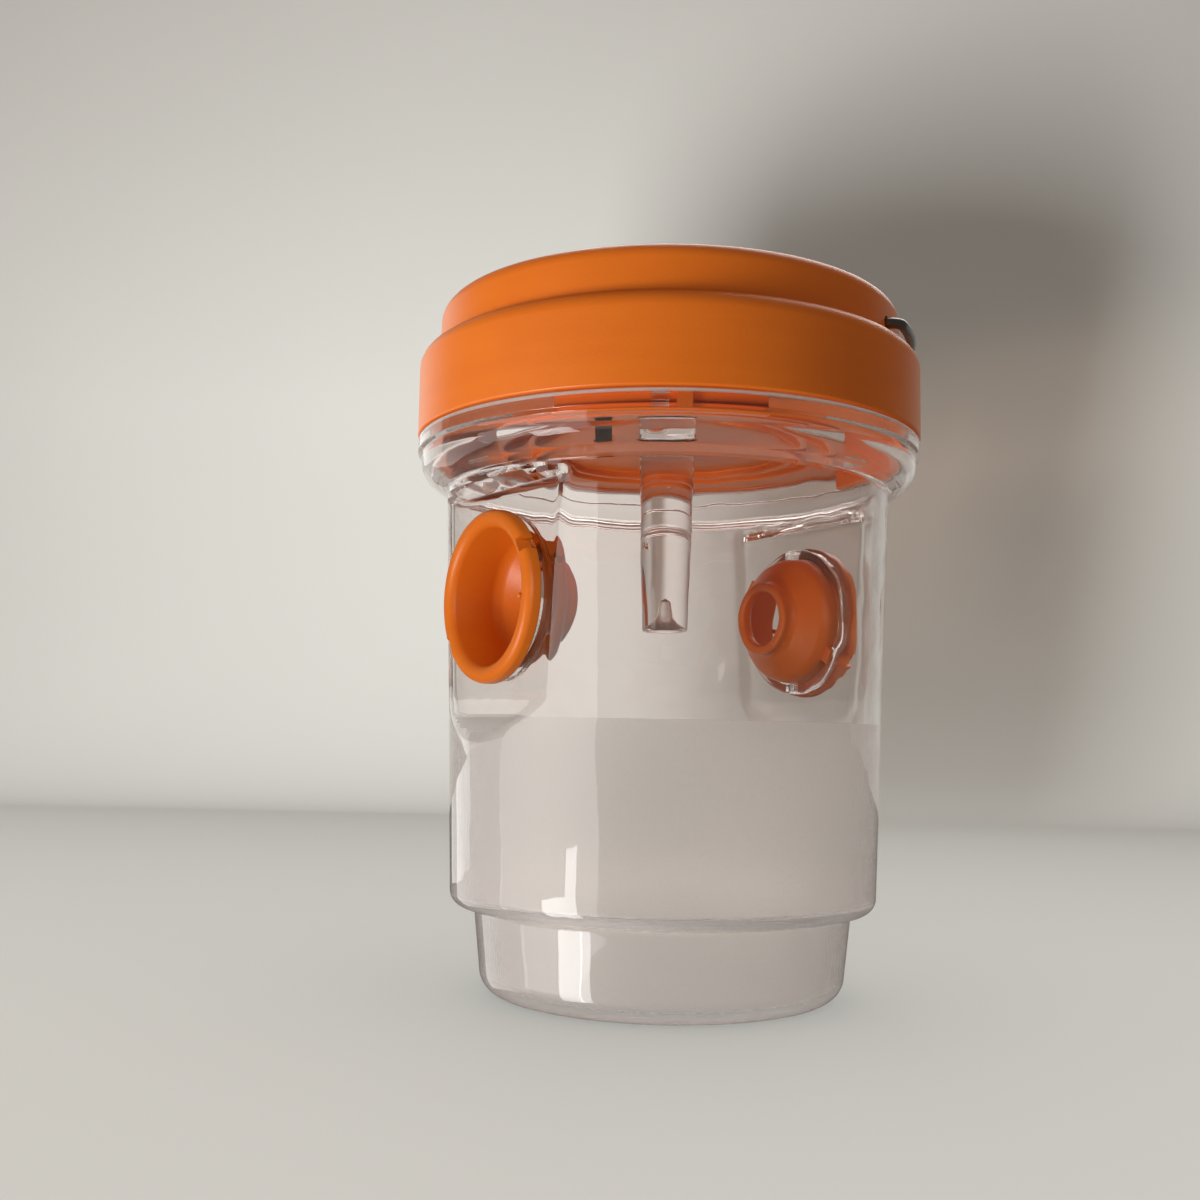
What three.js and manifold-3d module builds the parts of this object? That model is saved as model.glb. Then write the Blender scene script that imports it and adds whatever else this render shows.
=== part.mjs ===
// A hanging bee trap: a clear stepped jar with two entry funnels twist-locked into flat pads of its wall,
// closed by a two-tier lid that turns on bayonet tabs. The lid carries a light rod over the bait, its lamp,
// board, battery and solar panel, and a wire bail.
// Millimetres, +Z up, origin at the centre of the jar's foot, funnels along -X and +X.

import * as THREE from 'three';
import { mergeVertices } from 'three/addons/utils/BufferGeometryUtils.js';
import Module from 'manifold-3d';

// Clearances

const GAP = 0.3; // between pieces that touch
const RUNNING_GAP = 0.4; // between pieces that turn or slide past each other

// Jar

const WALL = 2.0;
const FOOT_RADIUS = 34.7;
const FOOT_FILLET = 4.5;
const STEP_RADIUS = 36.5; // top of the narrow foot
const STEP_HEIGHT = 16.5;
const STEP_FILLET = 1.0;
const STEP_SLOPE = 0.3;
const BODY_LOW_RADIUS = 41.1;
const BODY_FILLET = 2.6;
const BODY_TOP_RADIUS = 43.9;
const BODY_HEIGHT = 78.3;
const NECK_FILLET = 1.4;
const COLLAR_HEIGHT = 12.1;
const COLLAR_RISE = 1.8; // the collar's underside rises by this much on its way out
const COLLAR_WALL = 2.3;
const COLLAR_DRAFT = 0.7; // the collar is narrower below its rim band by this much
const COLLAR_LEAN = 0.4;
const COLLAR_FILLET = 5.0;
const RIM_BAND = 2.8;
const RIM_CHAMFER = 0.5;

// Flat pads in the jar's wall that carry the funnels

const PAD_INSET = 5.4; // from the body's widest radius to the pad's face
const PAD_BELOW = 18.2; // pad's reach below and above the funnel's axis
const PAD_ABOVE = 16.4;
const PAD_LOW_SLOPE = 1.9; // rise over run of the pad's lower run-out
const PAD_HIGH_SLOPE = 0.42;

// Entry funnels

const FUNNEL_DROP = 20.6; // axis below the collar
const FLANGE_RADIUS = 16.0;
const FLANGE_THICKNESS = 3.0;
const FLANGE_FILLET = 1.4;
const MOUTH_RADIUS = 12.9;
const BARREL_RADIUS = 13.2;
const BARREL_LENGTH = 6.6;
const BARREL_FILLET = 3.2;
const FUNNEL_WALL = 1.7;
const TUBE_RADIUS = 7.5;
const TUBE_BORE_RADIUS = 5.65;
const TUBE_LENGTH = 2.4;
const TUBE_FILLET = 2.0;
const FUNNEL_DEPTH = 13.2; // from the pad's face to the tube's end
const RING_WALL = 1.9; // lip ring inside the jar
const RING_DEPTH = 1.6;
const LUG_WIDTH = 3.6;
const LUG_RISE = 1.7;
const LUG_THICKNESS = 1.5;
const LUG_ANGLE = 33; // above the horizontal, seen from outside
const ENTRY_ANGLE = 90; // where the ring's notches let the lugs in
const BEAD_NOTCH_WIDTH = 2.8;
const BEAD_NOTCH_DEPTH = 1.5;

// Bayonet closure of the lid

const TAB_ANGLE = 46;
const TAB_THICKNESS = 1.5;
const TAB_DEPTH = 3.9;
const TAB_HOOK_HEIGHT = 1.2;
const TAB_PHASE = -128.5; // middle of the front tab
const SIDE_TAB_ANGLE = 100; // to each side tab: uneven, so that the lid fits one way round
const CATCH_RISE = 1.2; // jar catches that the hooks pass under
const CATCH_HEIGHT = 1.3;
const CATCH_ANGLE = 3.6;
const STOP_ANGLE = 3.2;

// Lid cap

const LID_RADIUS = 50;
const LID_WALL = 2.2;
const LIP_STEP = 0.1; // the collar stands in from the lid by this much
const LIP_FILLET = 0.4;
const SKIRT_HEIGHT = 17.1; // lower tier
const LEDGE_WIDTH = 3.8;
const LEDGE_FILLET = 3.4;
const TIER_HEIGHT = 9.4; // upper tier
const TIER_DRAFT = 0.35;
const TIER_FILLET = 3.0;
const TOP_THICKNESS = 3.6;
const INNER_FILLET = 1.2;
const BOSS_COUNT = 4;
const BOSS_INSET = 5.0; // boss's middle in from the upper tier's inside
const BOSS_RADIUS = 3.0;
const PILOT_RADIUS = 1.3;
const PILOT_DEPTH = 9;
const LEAD_HOLE_RADIUS = 2.0;

// Solar panel

const PANEL_SIDE = 54;
const PANEL_CORNER = 2.0;
const PANEL_THICKNESS = 1.5;

// Lid base, the plate that closes the cap from below

const PLATE_THICKNESS = 2.0;
const PLATE_STEP = 0.2; // plate's underside above the cap's lip
const RIB_RADII = [27, 33];
const RIB_WIDTH = 1.4;
const RIB_DEPTH = 1.5;
const SCREW_PAD_RADIUS = 4.4;
const SCREW_PAD_RISE = 1.8;

// Light rod and lamp

const ROD_TOP_RADIUS = 5.7;
const ROD_TIP_RADIUS = 4.5;
const ROD_LENGTH = 39.7;
const ROD_TIP_FILLET = 0.8;
const ROD_FLANGE_RADIUS = 8.5;
const ROD_FLANGE_THICKNESS = 1.5;
const ROD_CONE_RADIUS = 3.2; // hollow cone in the rod's tip
const ROD_CONE_WAIST = 1.1;
const ROD_CONE_FLARE = 2.9;
const ROD_CONE_DEPTH = 6.5;
const LAMP_RADIUS = 2.5;
const LAMP_FLANGE_RISE = 0.4;
const LAMP_FLANGE_THICKNESS = 1.0;
const LAMP_LENGTH = 7.8;
const SLEEVE_WALL = 0.8;

// Circuit board

const ELECTRONICS_TURN = -34; // the board's X axis, about +Z
const BOARD_MARGIN = 4.0; // board's edge past its standoffs
const BOARD_THICKNESS = 1.6;
const STANDOFF_HEIGHT = 5.3;
const STANDOFF_RADIUS = 2.6;
const STANDOFF_CLEARANCE = 2.4;
const STANDOFF_ANGLE = -39;
const BOARD_PILOT_RADIUS = 1.0;
const BOARD_PILOT_FLOOR = 0.5;

// Slide switch

const SWITCH_CLEARANCE = 0.9; // housing from the light rod's flange
const SWITCH_TRAVEL = 3.0;
const KNOB_LENGTH = 4.0;
const KNOB_WIDTH = 3.4;
const KNOB_CORNER = 0.5;
const KNOB_REACH = 1.8; // below the plate
const SWITCH_RIM = 1.2;
const SWITCH_POCKET = 1.6;

// Battery, an AA cell, and its contacts

const CELL_RADIUS = 7.1;
const CELL_LENGTH = 49.5;
const CELL_FILLET = 0.6;
const CELL_NUB_RADIUS = 2.7;
const CELL_NUB_LENGTH = 1.0;
const CELL_CLEARANCE = 4.4; // from the board's edge
const CONTACT_SIDE = 9.5;
const CONTACT_THICKNESS = 0.6;
const LEAF_DEPTH = 3.2;
const CRADLE_WALL = 1.6;
const CRADLE_HEIGHT = 11.5;
const RAIL_HEIGHT = 4.5;
const RAIL_LENGTH = 30;

// Screws

const BASE_SCREW = { head: 2.6, headHeight: 1.5, shank: 1.0, length: 9.5 };
const BOARD_SCREW = { head: 2.0, headHeight: 1.3, shank: 0.7, length: 5.6 };
const HEAD_CHAMFER = 0.4;

// Bail

const WIRE_RADIUS = 1.0;
const BAIL_CLEARANCE = 1.1; // between the wire and the upper tier
const BAIL_RISE = 2.3; // pivots above the ledge
const BAIL_PIVOT_ANGLE = -65;
const BAIL_HOOK = 3.2; // wire inside the tier's wall face
const BAIL_BEND = 2.4;
const BAIL_BEND_LENGTH = 3.8;

// Facets

const SIDES = 44;
const FUNNEL_SIDES = 28;
const ROD_SIDES = 20;
const SMALL_SIDES = 10;
const OVERLAP = 0.4; // how far joined solids run into each other
const PAST = 1.0; // how far a cut runs past the face it opens

// Solids

const wasm = await Module();
wasm.setup();

const radians = THREE.MathUtils.degToRad;

// A closed geometry as a solid that faces out, with its shared vertices merged.
function solid(geometry) {
  geometry.deleteAttribute('normal');
  geometry.deleteAttribute('uv');
  const merged = mergeVertices(geometry, 1e-4);
  const vertices = merged.attributes.position.array;
  const corners = merged.index.array;
  const point = (i) => new THREE.Vector3().fromArray(vertices, 3 * i);
  const triangles = [];
  let volume = 0;
  for (let i = 0; i < corners.length; i += 3) {
    const [a, b, c] = corners.slice(i, i + 3);
    if (a === b || b === c || c === a) continue;
    triangles.push([a, b, c]);
    volume += point(a).dot(point(b).cross(point(c)));
  }
  const faced = triangles.map(([a, b, c]) => (volume < 0 ? [a, c, b] : [a, b, c]));
  return new wasm.Manifold(new wasm.Mesh({
    numProp: 3,
    vertProperties: new Float32Array(vertices),
    triVerts: new Uint32Array(faced.flat()),
  }));
}

// A small fillet is one chamfer, a large one has up to three facets.
const filletSteps = (fillet) => Math.min(3, Math.max(1, Math.round(fillet)));

// Replaces each [x, y, fillet] corner of an outline by an arc, limited to half of its shorter side.
function rounded(corners, closed) {
  const last = corners.length - 1;
  return corners.flatMap(([x, y, fillet = 0], i) => {
    const here = new THREE.Vector2(x, y);
    if (!fillet || (!closed && (i === 0 || i === last))) return [here];
    const [beforeX, beforeY] = corners[i === 0 ? last : i - 1];
    const [afterX, afterY] = corners[i === last ? 0 : i + 1];
    const before = new THREE.Vector2(beforeX, beforeY).sub(here);
    const after = new THREE.Vector2(afterX, afterY).sub(here);
    const half = Math.abs(before.angleTo(after)) / 2;
    const reach = Math.min(fillet / Math.tan(half), 0.49 * Math.min(before.length(), after.length()));
    const start = before.setLength(reach);
    const end = after.setLength(reach);
    const centre = start.clone().add(end).multiplyScalar(0.5 / Math.cos(half) ** 2);
    const radius = centre.distanceTo(start);
    const steps = filletSteps(fillet);
    return Array.from({ length: steps + 1 }, (_, k) => {
      const spoke = start.clone().lerp(end, k / steps).sub(centre);
      return spoke.setLength(radius).add(centre).add(here);
    });
  });
}

// Turns an outline of [radius, height, fillet] corners about the Z axis. An open outline starts and ends
// on the axis.
function revolve(corners, { sides = SIDES, closed = false } = {}) {
  const outline = rounded(corners, closed);
  if (closed) outline.push(outline[0].clone());
  return solid(new THREE.LatheGeometry(outline, sides).rotateX(Math.PI / 2));
}

// Extrudes an outline of [x, y, fillet] corners from one height to another.
function prism(corners, low, high) {
  const shape = new THREE.Shape(rounded(corners, true));
  const settings = { depth: high - low, bevelEnabled: false, steps: 1 };
  return solid(new THREE.ExtrudeGeometry(shape, settings).translate(0, 0, low));
}

function block([x, y], [length, width], low, high, corner = 0) {
  const [a, b] = [length / 2, width / 2];
  const signs = [[-1, -1], [1, -1], [1, 1], [-1, 1]];
  return prism(signs.map(([i, j]) => [x + i * a, y + j * b, corner]), low, high);
}

function disc(radius, low, high, { centre = [0, 0], sides = SMALL_SIDES } = {}) {
  return revolve([[0, low], [radius, low], [radius, high], [0, high]], { sides }).translate([...centre, 0]);
}

function washer(inner, outer, low, high, sides = SIDES) {
  return revolve([[inner, low], [outer, low], [outer, high], [inner, high]], { sides, closed: true });
}

// A piece of ring between two radii, centred on an angle in degrees.
function sector(inner, outer, low, high, angle, width) {
  const start = radians(angle - width / 2);
  const end = radians(angle + width / 2);
  const shape = new THREE.Shape();
  shape.absarc(0, 0, outer, start, end, false);
  shape.absarc(0, 0, inner, end, start, true);
  const curveSegments = Math.ceil((width * SIDES) / 360);
  const settings = { depth: high - low, bevelEnabled: false, curveSegments };
  return solid(new THREE.ExtrudeGeometry(shape, settings).translate(0, 0, low));
}

const polar = (radius, angle) => [radius * Math.cos(radians(angle)), radius * Math.sin(radians(angle))];
const joined = (first, ...others) => others.reduce((sum, other) => sum.add(other), first);
const cut = (first, ...others) => others.reduce((rest, other) => rest.subtract(other), first);
const pattern = (count, make) => Array.from({ length: count }, (_, i) => make(i));
const bothSides = (shape) => [shape, shape.rotate([0, 0, 180])];

// Materials

const plain = (color, roughness, metalness = 0) => new THREE.MeshStandardMaterial({
  color, roughness, metalness,
});
const seeThrough = (color, roughness, opacity) => new THREE.MeshStandardMaterial({
  color, roughness, metalness: 0, transparent: true, opacity,
});

const clear = seeThrough(0xe6e2e0, 0.06, 0.35);
const lampLens = seeThrough(0xcfc6e6, 0.1, 0.6);
const orange = plain(0xe8731c, 0.3);
const black = plain(0x141414, 0.45);
const boardGreen = plain(0x1f5a37, 0.5);
const cellWrap = plain(0x2f7d4a, 0.4);
const panelBlue = plain(0x10182b, 0.15);
const wire = plain(0x6d6a66, 0.35, 1);
const plated = plain(0xb9bcc0, 0.3, 1);

const trap = new THREE.Group();

// The electronics and the plate that carries them share a frame that is turned about the trap's axis.
const electronics = new THREE.Group();
electronics.rotation.z = radians(ELECTRONICS_TURN);
trap.add(electronics);

function addPart(name, shape, material, parent = trap) {
  const { vertProperties, triVerts } = shape.getMesh();
  const geometry = new THREE.BufferGeometry();
  geometry.setAttribute('position', new THREE.BufferAttribute(vertProperties, 3));
  geometry.setIndex(new THREE.BufferAttribute(triVerts, 1));
  geometry.computeVertexNormals();
  const mesh = new THREE.Mesh(geometry, material);
  mesh.name = name;
  parent.add(mesh);
}

// Heights and radii that several pieces share

const bodyTop = STEP_HEIGHT + BODY_HEIGHT;
const rimHeight = bodyTop + COLLAR_HEIGHT;
const collarRadius = LID_RADIUS - LIP_STEP;
const collarBore = collarRadius - COLLAR_WALL;
const lipHeight = rimHeight + GAP;
const ledgeHeight = lipHeight + SKIRT_HEIGHT;
const lidTop = ledgeHeight + TIER_HEIGHT;
const tierRadius = LID_RADIUS - LEDGE_WIDTH;
const plateLow = lipHeight + PLATE_STEP;
const plateHigh = plateLow + PLATE_THICKNESS;

const tabMiddles = [0, -SIDE_TAB_ANGLE, SIDE_TAB_ANGLE].map((angle) => TAB_PHASE + angle);
const hookLow = plateLow - TAB_DEPTH;
const hookHigh = hookLow + TAB_HOOK_HEIGHT;
const hookRadius = collarBore - RUNNING_GAP;
const catchLow = hookHigh + RUNNING_GAP;
const catchRadius = collarBore - CATCH_RISE;
const tabRadius = catchRadius - RUNNING_GAP;

const padDistance = BODY_TOP_RADIUS - PAD_INSET;
const funnelHeight = bodyTop - FUNNEL_DROP;
const holeRadius = BARREL_RADIUS + RUNNING_GAP;
const lugReach = BARREL_RADIUS + LUG_RISE;
const ringBack = -WALL - RING_DEPTH;

// What stands on a pad is drawn along +Z from the pad's face, with its own Y up, and then laid on its side.
function onPad(shape) {
  return shape.rotate([90, 0, 90]).translate([padDistance, 0, funnelHeight]);
}

// Jar: one revolved shell, drawn in to a flat pad at each funnel. The pad's outline is cut from the shell's
// outside and, a wall's thickness further in, from its hollow, so that the wall keeps its thickness round it.

function padCutter(distance) {
  const reach = BODY_TOP_RADIUS + WALL - distance;
  const low = funnelHeight - PAD_BELOW;
  const high = funnelHeight + PAD_ABOVE;
  const runOutLow = low - PAD_LOW_SLOPE * reach;
  const runOutHigh = high + PAD_HIGH_SLOPE * reach;
  const side = [[0, low], [reach, runOutLow], [reach, runOutHigh], [0, high]];
  return prism(side, -BODY_TOP_RADIUS, BODY_TOP_RADIUS).rotate([90, 0, 0]).translate([distance, 0, 0]);
}

function jar() {
  const shell = revolve([
    [0, 0],
    [FOOT_RADIUS, 0, FOOT_FILLET],
    [STEP_RADIUS, STEP_HEIGHT, STEP_FILLET],
    [BODY_LOW_RADIUS, STEP_HEIGHT + STEP_SLOPE, BODY_FILLET],
    [BODY_TOP_RADIUS, bodyTop, NECK_FILLET],
    [collarRadius - COLLAR_DRAFT - COLLAR_LEAN, bodyTop + COLLAR_RISE, COLLAR_FILLET],
    [collarRadius - COLLAR_DRAFT, rimHeight - RIM_BAND - RIM_CHAMFER],
    [collarRadius, rimHeight - RIM_BAND],
    [collarRadius, rimHeight],
    [0, rimHeight],
  ]);
  const hollow = revolve([
    [0, WALL],
    [FOOT_RADIUS - WALL, WALL, FOOT_FILLET - WALL],
    [STEP_RADIUS - WALL, STEP_HEIGHT + WALL, STEP_FILLET + WALL],
    [BODY_LOW_RADIUS - WALL, STEP_HEIGHT + WALL + STEP_SLOPE, BODY_FILLET - WALL],
    [BODY_TOP_RADIUS - WALL, bodyTop, NECK_FILLET + WALL],
    [collarBore, bodyTop + COLLAR_RISE + WALL, COLLAR_FILLET - WALL],
    [collarBore, rimHeight + PAST],
    [0, rimHeight + PAST],
  ]);
  const drawnIn = cut(shell, ...bothSides(padCutter(padDistance)));
  const drawnHollow = cut(hollow, ...bothSides(padCutter(padDistance - WALL)));

  const ring = disc(holeRadius + RING_WALL, ringBack, OVERLAP - WALL, { sides: FUNNEL_SIDES });
  const bore = disc(holeRadius, ringBack - PAST, PAST, { sides: FUNNEL_SIDES });
  const notchSize = [2 * (lugReach + GAP), LUG_WIDTH + 2 * RUNNING_GAP];
  const notch = block([0, 0], notchSize, ringBack - PAST, PAST).rotate([0, 0, ENTRY_ANGLE]);

  const catchHigh = catchLow + CATCH_HEIGHT;
  const catches = tabMiddles.map((middle) => (
    sector(catchRadius, collarBore + OVERLAP, catchLow, catchHigh, middle, CATCH_ANGLE)
  ));
  const body = joined(cut(drawnIn, drawnHollow), ...bothSides(onPad(ring)), ...catches);
  return cut(body, ...bothSides(onPad(bore)), ...bothSides(onPad(notch)));
}

addPart('jar', jar(), clear);

// Funnel: a bead that seats on the pad, a barrel through the jar's hole, and a cone that narrows to a short
// tube. Two lugs on the barrel lock behind the jar's lip ring, and a notch in the bead stands over each.

function funnel() {
  const seat = GAP;
  const face = seat + FLANGE_THICKNESS;
  const tubeStart = TUBE_LENGTH - FUNNEL_DEPTH;
  const barrelBore = BARREL_RADIUS - FUNNEL_WALL;
  const body = revolve([
    [TUBE_BORE_RADIUS, -FUNNEL_DEPTH],
    [TUBE_RADIUS, -FUNNEL_DEPTH],
    [TUBE_RADIUS, tubeStart, TUBE_FILLET],
    [BARREL_RADIUS, -BARREL_LENGTH, BARREL_FILLET],
    [BARREL_RADIUS, seat],
    [FLANGE_RADIUS, seat, FLANGE_FILLET],
    [FLANGE_RADIUS, face, FLANGE_FILLET],
    [MOUTH_RADIUS, face, FLANGE_FILLET],
    [barrelBore, -BARREL_LENGTH, BARREL_FILLET],
    [TUBE_BORE_RADIUS, tubeStart, TUBE_FILLET],
  ], { sides: FUNNEL_SIDES, closed: true });
  const lugHigh = ringBack - GAP;
  const lugStart = BARREL_RADIUS - OVERLAP;
  const lugSize = [lugReach - lugStart, LUG_WIDTH];
  const lug = block([(lugStart + lugReach) / 2, 0], lugSize, lugHigh - LUG_THICKNESS, lugHigh);
  const notch = block([FLANGE_RADIUS, 0], [2 * BEAD_NOTCH_DEPTH, BEAD_NOTCH_WIDTH], seat - PAST, face + PAST);
  const angles = [LUG_ANGLE, LUG_ANGLE + 180];
  const lugs = angles.map((angle) => lug.rotate([0, 0, angle]));
  const notches = angles.map((angle) => notch.rotate([0, 0, angle]));
  return onPad(cut(joined(body, ...lugs), ...notches));
}

const [funnelRight, funnelLeft] = bothSides(funnel());
addPart('entry_funnel_right', funnelRight, orange);
addPart('entry_funnel_left', funnelLeft, orange);

// Lid cap: a two-tier shell with a recess for the panel, four screw bosses and the bail's two holes.

const capBore = LID_RADIUS - LID_WALL;
const tierBore = tierRadius - LID_WALL;
const innerTop = lidTop - TOP_THICKNESS;
const panelLow = lidTop - GAP - PANEL_THICKNESS;
const recessFloor = panelLow - GAP;
const bossCircle = tierBore - BOSS_INSET;
const bossLow = plateHigh + SCREW_PAD_RISE + GAP;
const bossSeats = (turn) => pattern(BOSS_COUNT, (i) => polar(bossCircle, turn + (360 * i) / BOSS_COUNT));
const bailHeight = ledgeHeight + BAIL_RISE;

function lidCap() {
  const shell = revolve([
    [0, innerTop],
    [tierBore - TIER_DRAFT, innerTop, INNER_FILLET],
    [tierBore, ledgeHeight - LID_WALL],
    [capBore, ledgeHeight - LID_WALL, INNER_FILLET],
    [capBore, lipHeight],
    [LID_RADIUS, lipHeight, LIP_FILLET],
    [LID_RADIUS, ledgeHeight, LEDGE_FILLET],
    [tierRadius, ledgeHeight, LIP_FILLET],
    [tierRadius - TIER_DRAFT, lidTop, TIER_FILLET],
    [0, lidTop],
  ]);
  const seats = bossSeats(ELECTRONICS_TURN);
  const bosses = seats.map((centre) => disc(BOSS_RADIUS, bossLow, innerTop + OVERLAP, { centre }));
  const pilots = seats.map((centre) => disc(PILOT_RADIUS, bossLow - PAST, bossLow + PILOT_DEPTH, { centre }));
  const recessSide = PANEL_SIDE + 2 * GAP;
  const recess = block([0, 0], [recessSide, recessSide], recessFloor, lidTop + PAST, PANEL_CORNER + GAP);
  const leadHole = disc(LEAD_HOLE_RADIUS, innerTop - PAST, recessFloor + PAST);
  const pivotHole = disc(WIRE_RADIUS + RUNNING_GAP, tierBore - 2 * PAST, tierRadius + PAST);
  const pivotHoles = bothSides(pivotHole.rotate([0, 90, 0])).map((hole) => (
    hole.rotate([0, 0, BAIL_PIVOT_ANGLE]).translate([0, 0, bailHeight])
  ));
  const turnedRecess = recess.rotate([0, 0, ELECTRONICS_TURN]);
  return cut(joined(shell, ...bosses), ...pilots, turnedRecess, leadHole, ...pivotHoles);
}

addPart('lid_cap', lidCap(), orange);

const panel = block([0, 0], [PANEL_SIDE, PANEL_SIDE], panelLow, panelLow + PANEL_THICKNESS, PANEL_CORNER);
addPart('solar_panel', panel, panelBlue, electronics);

// Where the electronics stand on the plate, in their own frame

const knobSlot = [KNOB_WIDTH + 2 * RUNNING_GAP, KNOB_LENGTH + SWITCH_TRAVEL + 2 * RUNNING_GAP];
const housingSize = knobSlot.map((side) => side + 2 * SWITCH_RIM);
const switchDistance = ROD_FLANGE_RADIUS + SWITCH_CLEARANCE + housingSize[0] / 2;
const switchCentre = [-switchDistance, SWITCH_TRAVEL / 2];

const standoffs = [
  [-switchDistance, switchCentre[1] + housingSize[1] / 2 + STANDOFF_CLEARANCE + STANDOFF_RADIUS],
  polar(ROD_FLANGE_RADIUS + STANDOFF_CLEARANCE + STANDOFF_RADIUS, STANDOFF_ANGLE),
];
const boardLow = plateHigh + STANDOFF_HEIGHT + GAP;
const boardHigh = boardLow + BOARD_THICKNESS;
const [boardBackLeft, boardFrontRight] = standoffs;
const boardSize = [
  boardFrontRight[0] - boardBackLeft[0] + 2 * BOARD_MARGIN,
  boardBackLeft[1] - boardFrontRight[1] + 2 * BOARD_MARGIN,
];
const boardCentre = [0, 1].map((axis) => (boardBackLeft[axis] + boardFrontRight[axis]) / 2);

const cellLow = plateHigh + GAP;
const cellHeight = cellLow + CELL_RADIUS;
const cellSide = boardCentre[1] - boardSize[1] / 2 - CELL_CLEARANCE - CELL_RADIUS;
const plusContactAt = CELL_LENGTH / 2 + CELL_NUB_LENGTH + GAP;
const plusWallAt = plusContactAt + CONTACT_THICKNESS + GAP;
const leafAt = -CELL_LENGTH / 2 - GAP;
const minusWallAt = leafAt - LEAF_DEPTH - GAP;

// Lid base: the plate under the electronics. Below it hang the bayonet tabs, which hook under the jar's
// catches, and above it stand the board's standoffs and the battery's cradle.

// A tab of the bayonet: its wall, the hook along its foot and the stop that the jar's catch comes up against.
function tab(middle) {
  const stopMiddle = middle + CATCH_ANGLE / 2 + STOP_ANGLE;
  const top = plateLow + OVERLAP;
  return joined(
    sector(tabRadius - TAB_THICKNESS, tabRadius, hookLow, top, middle, TAB_ANGLE),
    sector(tabRadius - OVERLAP, hookRadius, hookLow, hookHigh, middle, TAB_ANGLE),
    sector(tabRadius - OVERLAP, hookRadius, hookLow, top, stopMiddle, STOP_ANGLE),
  );
}

function cradle() {
  const low = plateHigh - OVERLAP;
  const wall = (x) => block([x, cellSide], [CRADLE_WALL, 2 * CELL_RADIUS], low, plateHigh + CRADLE_HEIGHT);
  const railOffset = CELL_RADIUS + GAP + CRADLE_WALL / 2;
  const rail = (y) => block([0, y], [RAIL_LENGTH, CRADLE_WALL], low, plateHigh + RAIL_HEIGHT);
  return [
    wall(plusWallAt + CRADLE_WALL / 2), wall(minusWallAt - CRADLE_WALL / 2),
    rail(cellSide - railOffset), rail(cellSide + railOffset),
  ];
}

function lidBase() {
  const plate = washer(ROD_TOP_RADIUS + GAP, capBore - RUNNING_GAP, plateLow, plateHigh);
  const ribs = RIB_RADII.map((radius) => {
    const inner = radius - RIB_WIDTH / 2;
    return washer(inner, inner + RIB_WIDTH, plateLow - RIB_DEPTH, plateLow + OVERLAP, FUNNEL_SIDES);
  });
  const tabs = tabMiddles.map((middle) => tab(middle - ELECTRONICS_TURN));
  const seats = bossSeats(0);
  const low = plateHigh - OVERLAP;
  const screwPads = seats.map((centre) => disc(SCREW_PAD_RADIUS, low, bossLow - GAP, { centre }));
  const screwHoles = seats.map((centre) => disc(PILOT_RADIUS, plateLow - PAST, bossLow + PAST, { centre }));
  const wellHigh = plateLow + BASE_SCREW.headHeight + GAP;
  const wells = seats.map((centre) => disc(BASE_SCREW.head + GAP, plateLow - PAST, wellHigh, { centre }));
  const posts = standoffs.map((centre) => disc(STANDOFF_RADIUS, low, boardLow - GAP, { centre }));
  const pilotLow = plateHigh + BOARD_PILOT_FLOOR;
  const postPilots = standoffs.map((centre) => (
    disc(BOARD_PILOT_RADIUS, pilotLow, boardLow + PAST, { centre })
  ));
  const slot = block(switchCentre, knobSlot, plateLow - PAST, plateHigh + PAST);
  const body = joined(plate, ...ribs, ...tabs, ...screwPads, ...posts, ...cradle());
  return cut(body, ...screwHoles, ...wells, ...postPilots, slot);
}

addPart('lid_base', lidBase(), orange, electronics);

// Light rod: a clear taper with a flange that lies on the plate, a hollow cone in its tip that throws the
// light sideways, and a pocket in its top for the lamp in its sleeve.

const lampHigh = boardLow - GAP;
const lampTip = lampHigh - LAMP_LENGTH;
const lampFlangeLow = lampHigh - LAMP_FLANGE_THICKNESS;
const sleeveBore = LAMP_RADIUS + GAP;
const sleeveRadius = sleeveBore + SLEEVE_WALL;

function lightRod() {
  const flangeLow = plateHigh + GAP;
  const flangeHigh = flangeLow + ROD_FLANGE_THICKNESS;
  const tip = flangeLow - ROD_LENGTH;
  const pocketRadius = sleeveRadius + GAP;
  const pocketFloor = lampTip - GAP;
  return revolve([
    [0, tip + ROD_CONE_DEPTH],
    [ROD_CONE_WAIST, tip + ROD_CONE_FLARE],
    [ROD_CONE_RADIUS, tip],
    [ROD_TIP_RADIUS, tip, ROD_TIP_FILLET],
    [ROD_TOP_RADIUS, flangeLow],
    [ROD_FLANGE_RADIUS, flangeLow],
    [ROD_FLANGE_RADIUS, flangeHigh],
    [pocketRadius, flangeHigh],
    [pocketRadius, pocketFloor],
    [0, pocketFloor],
  ], { sides: ROD_SIDES });
}

const lamp = revolve([
  [0, lampTip],
  [LAMP_RADIUS, lampTip, LAMP_RADIUS],
  [LAMP_RADIUS, lampFlangeLow],
  [LAMP_RADIUS + LAMP_FLANGE_RISE, lampFlangeLow],
  [LAMP_RADIUS + LAMP_FLANGE_RISE, lampHigh],
  [0, lampHigh],
], { sides: SMALL_SIDES });

const sleeveHigh = lampFlangeLow - GAP;
const sleeve = washer(sleeveBore, sleeveRadius, lampTip, sleeveHigh, SMALL_SIDES);

addPart('light_rod', lightRod(), clear, electronics);
addPart('lamp', lamp, lampLens, electronics);
addPart('lamp_sleeve', sleeve, black, electronics);

// Circuit board, over the lamp and the switch

const board = block(boardCentre, boardSize, boardLow, boardHigh);
const boardHoles = standoffs.map((centre) => (
  disc(BOARD_PILOT_RADIUS, boardLow - PAST, boardHigh + PAST, { centre })
));
addPart('circuit_board', cut(board, ...boardHoles), boardGreen, electronics);

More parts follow.
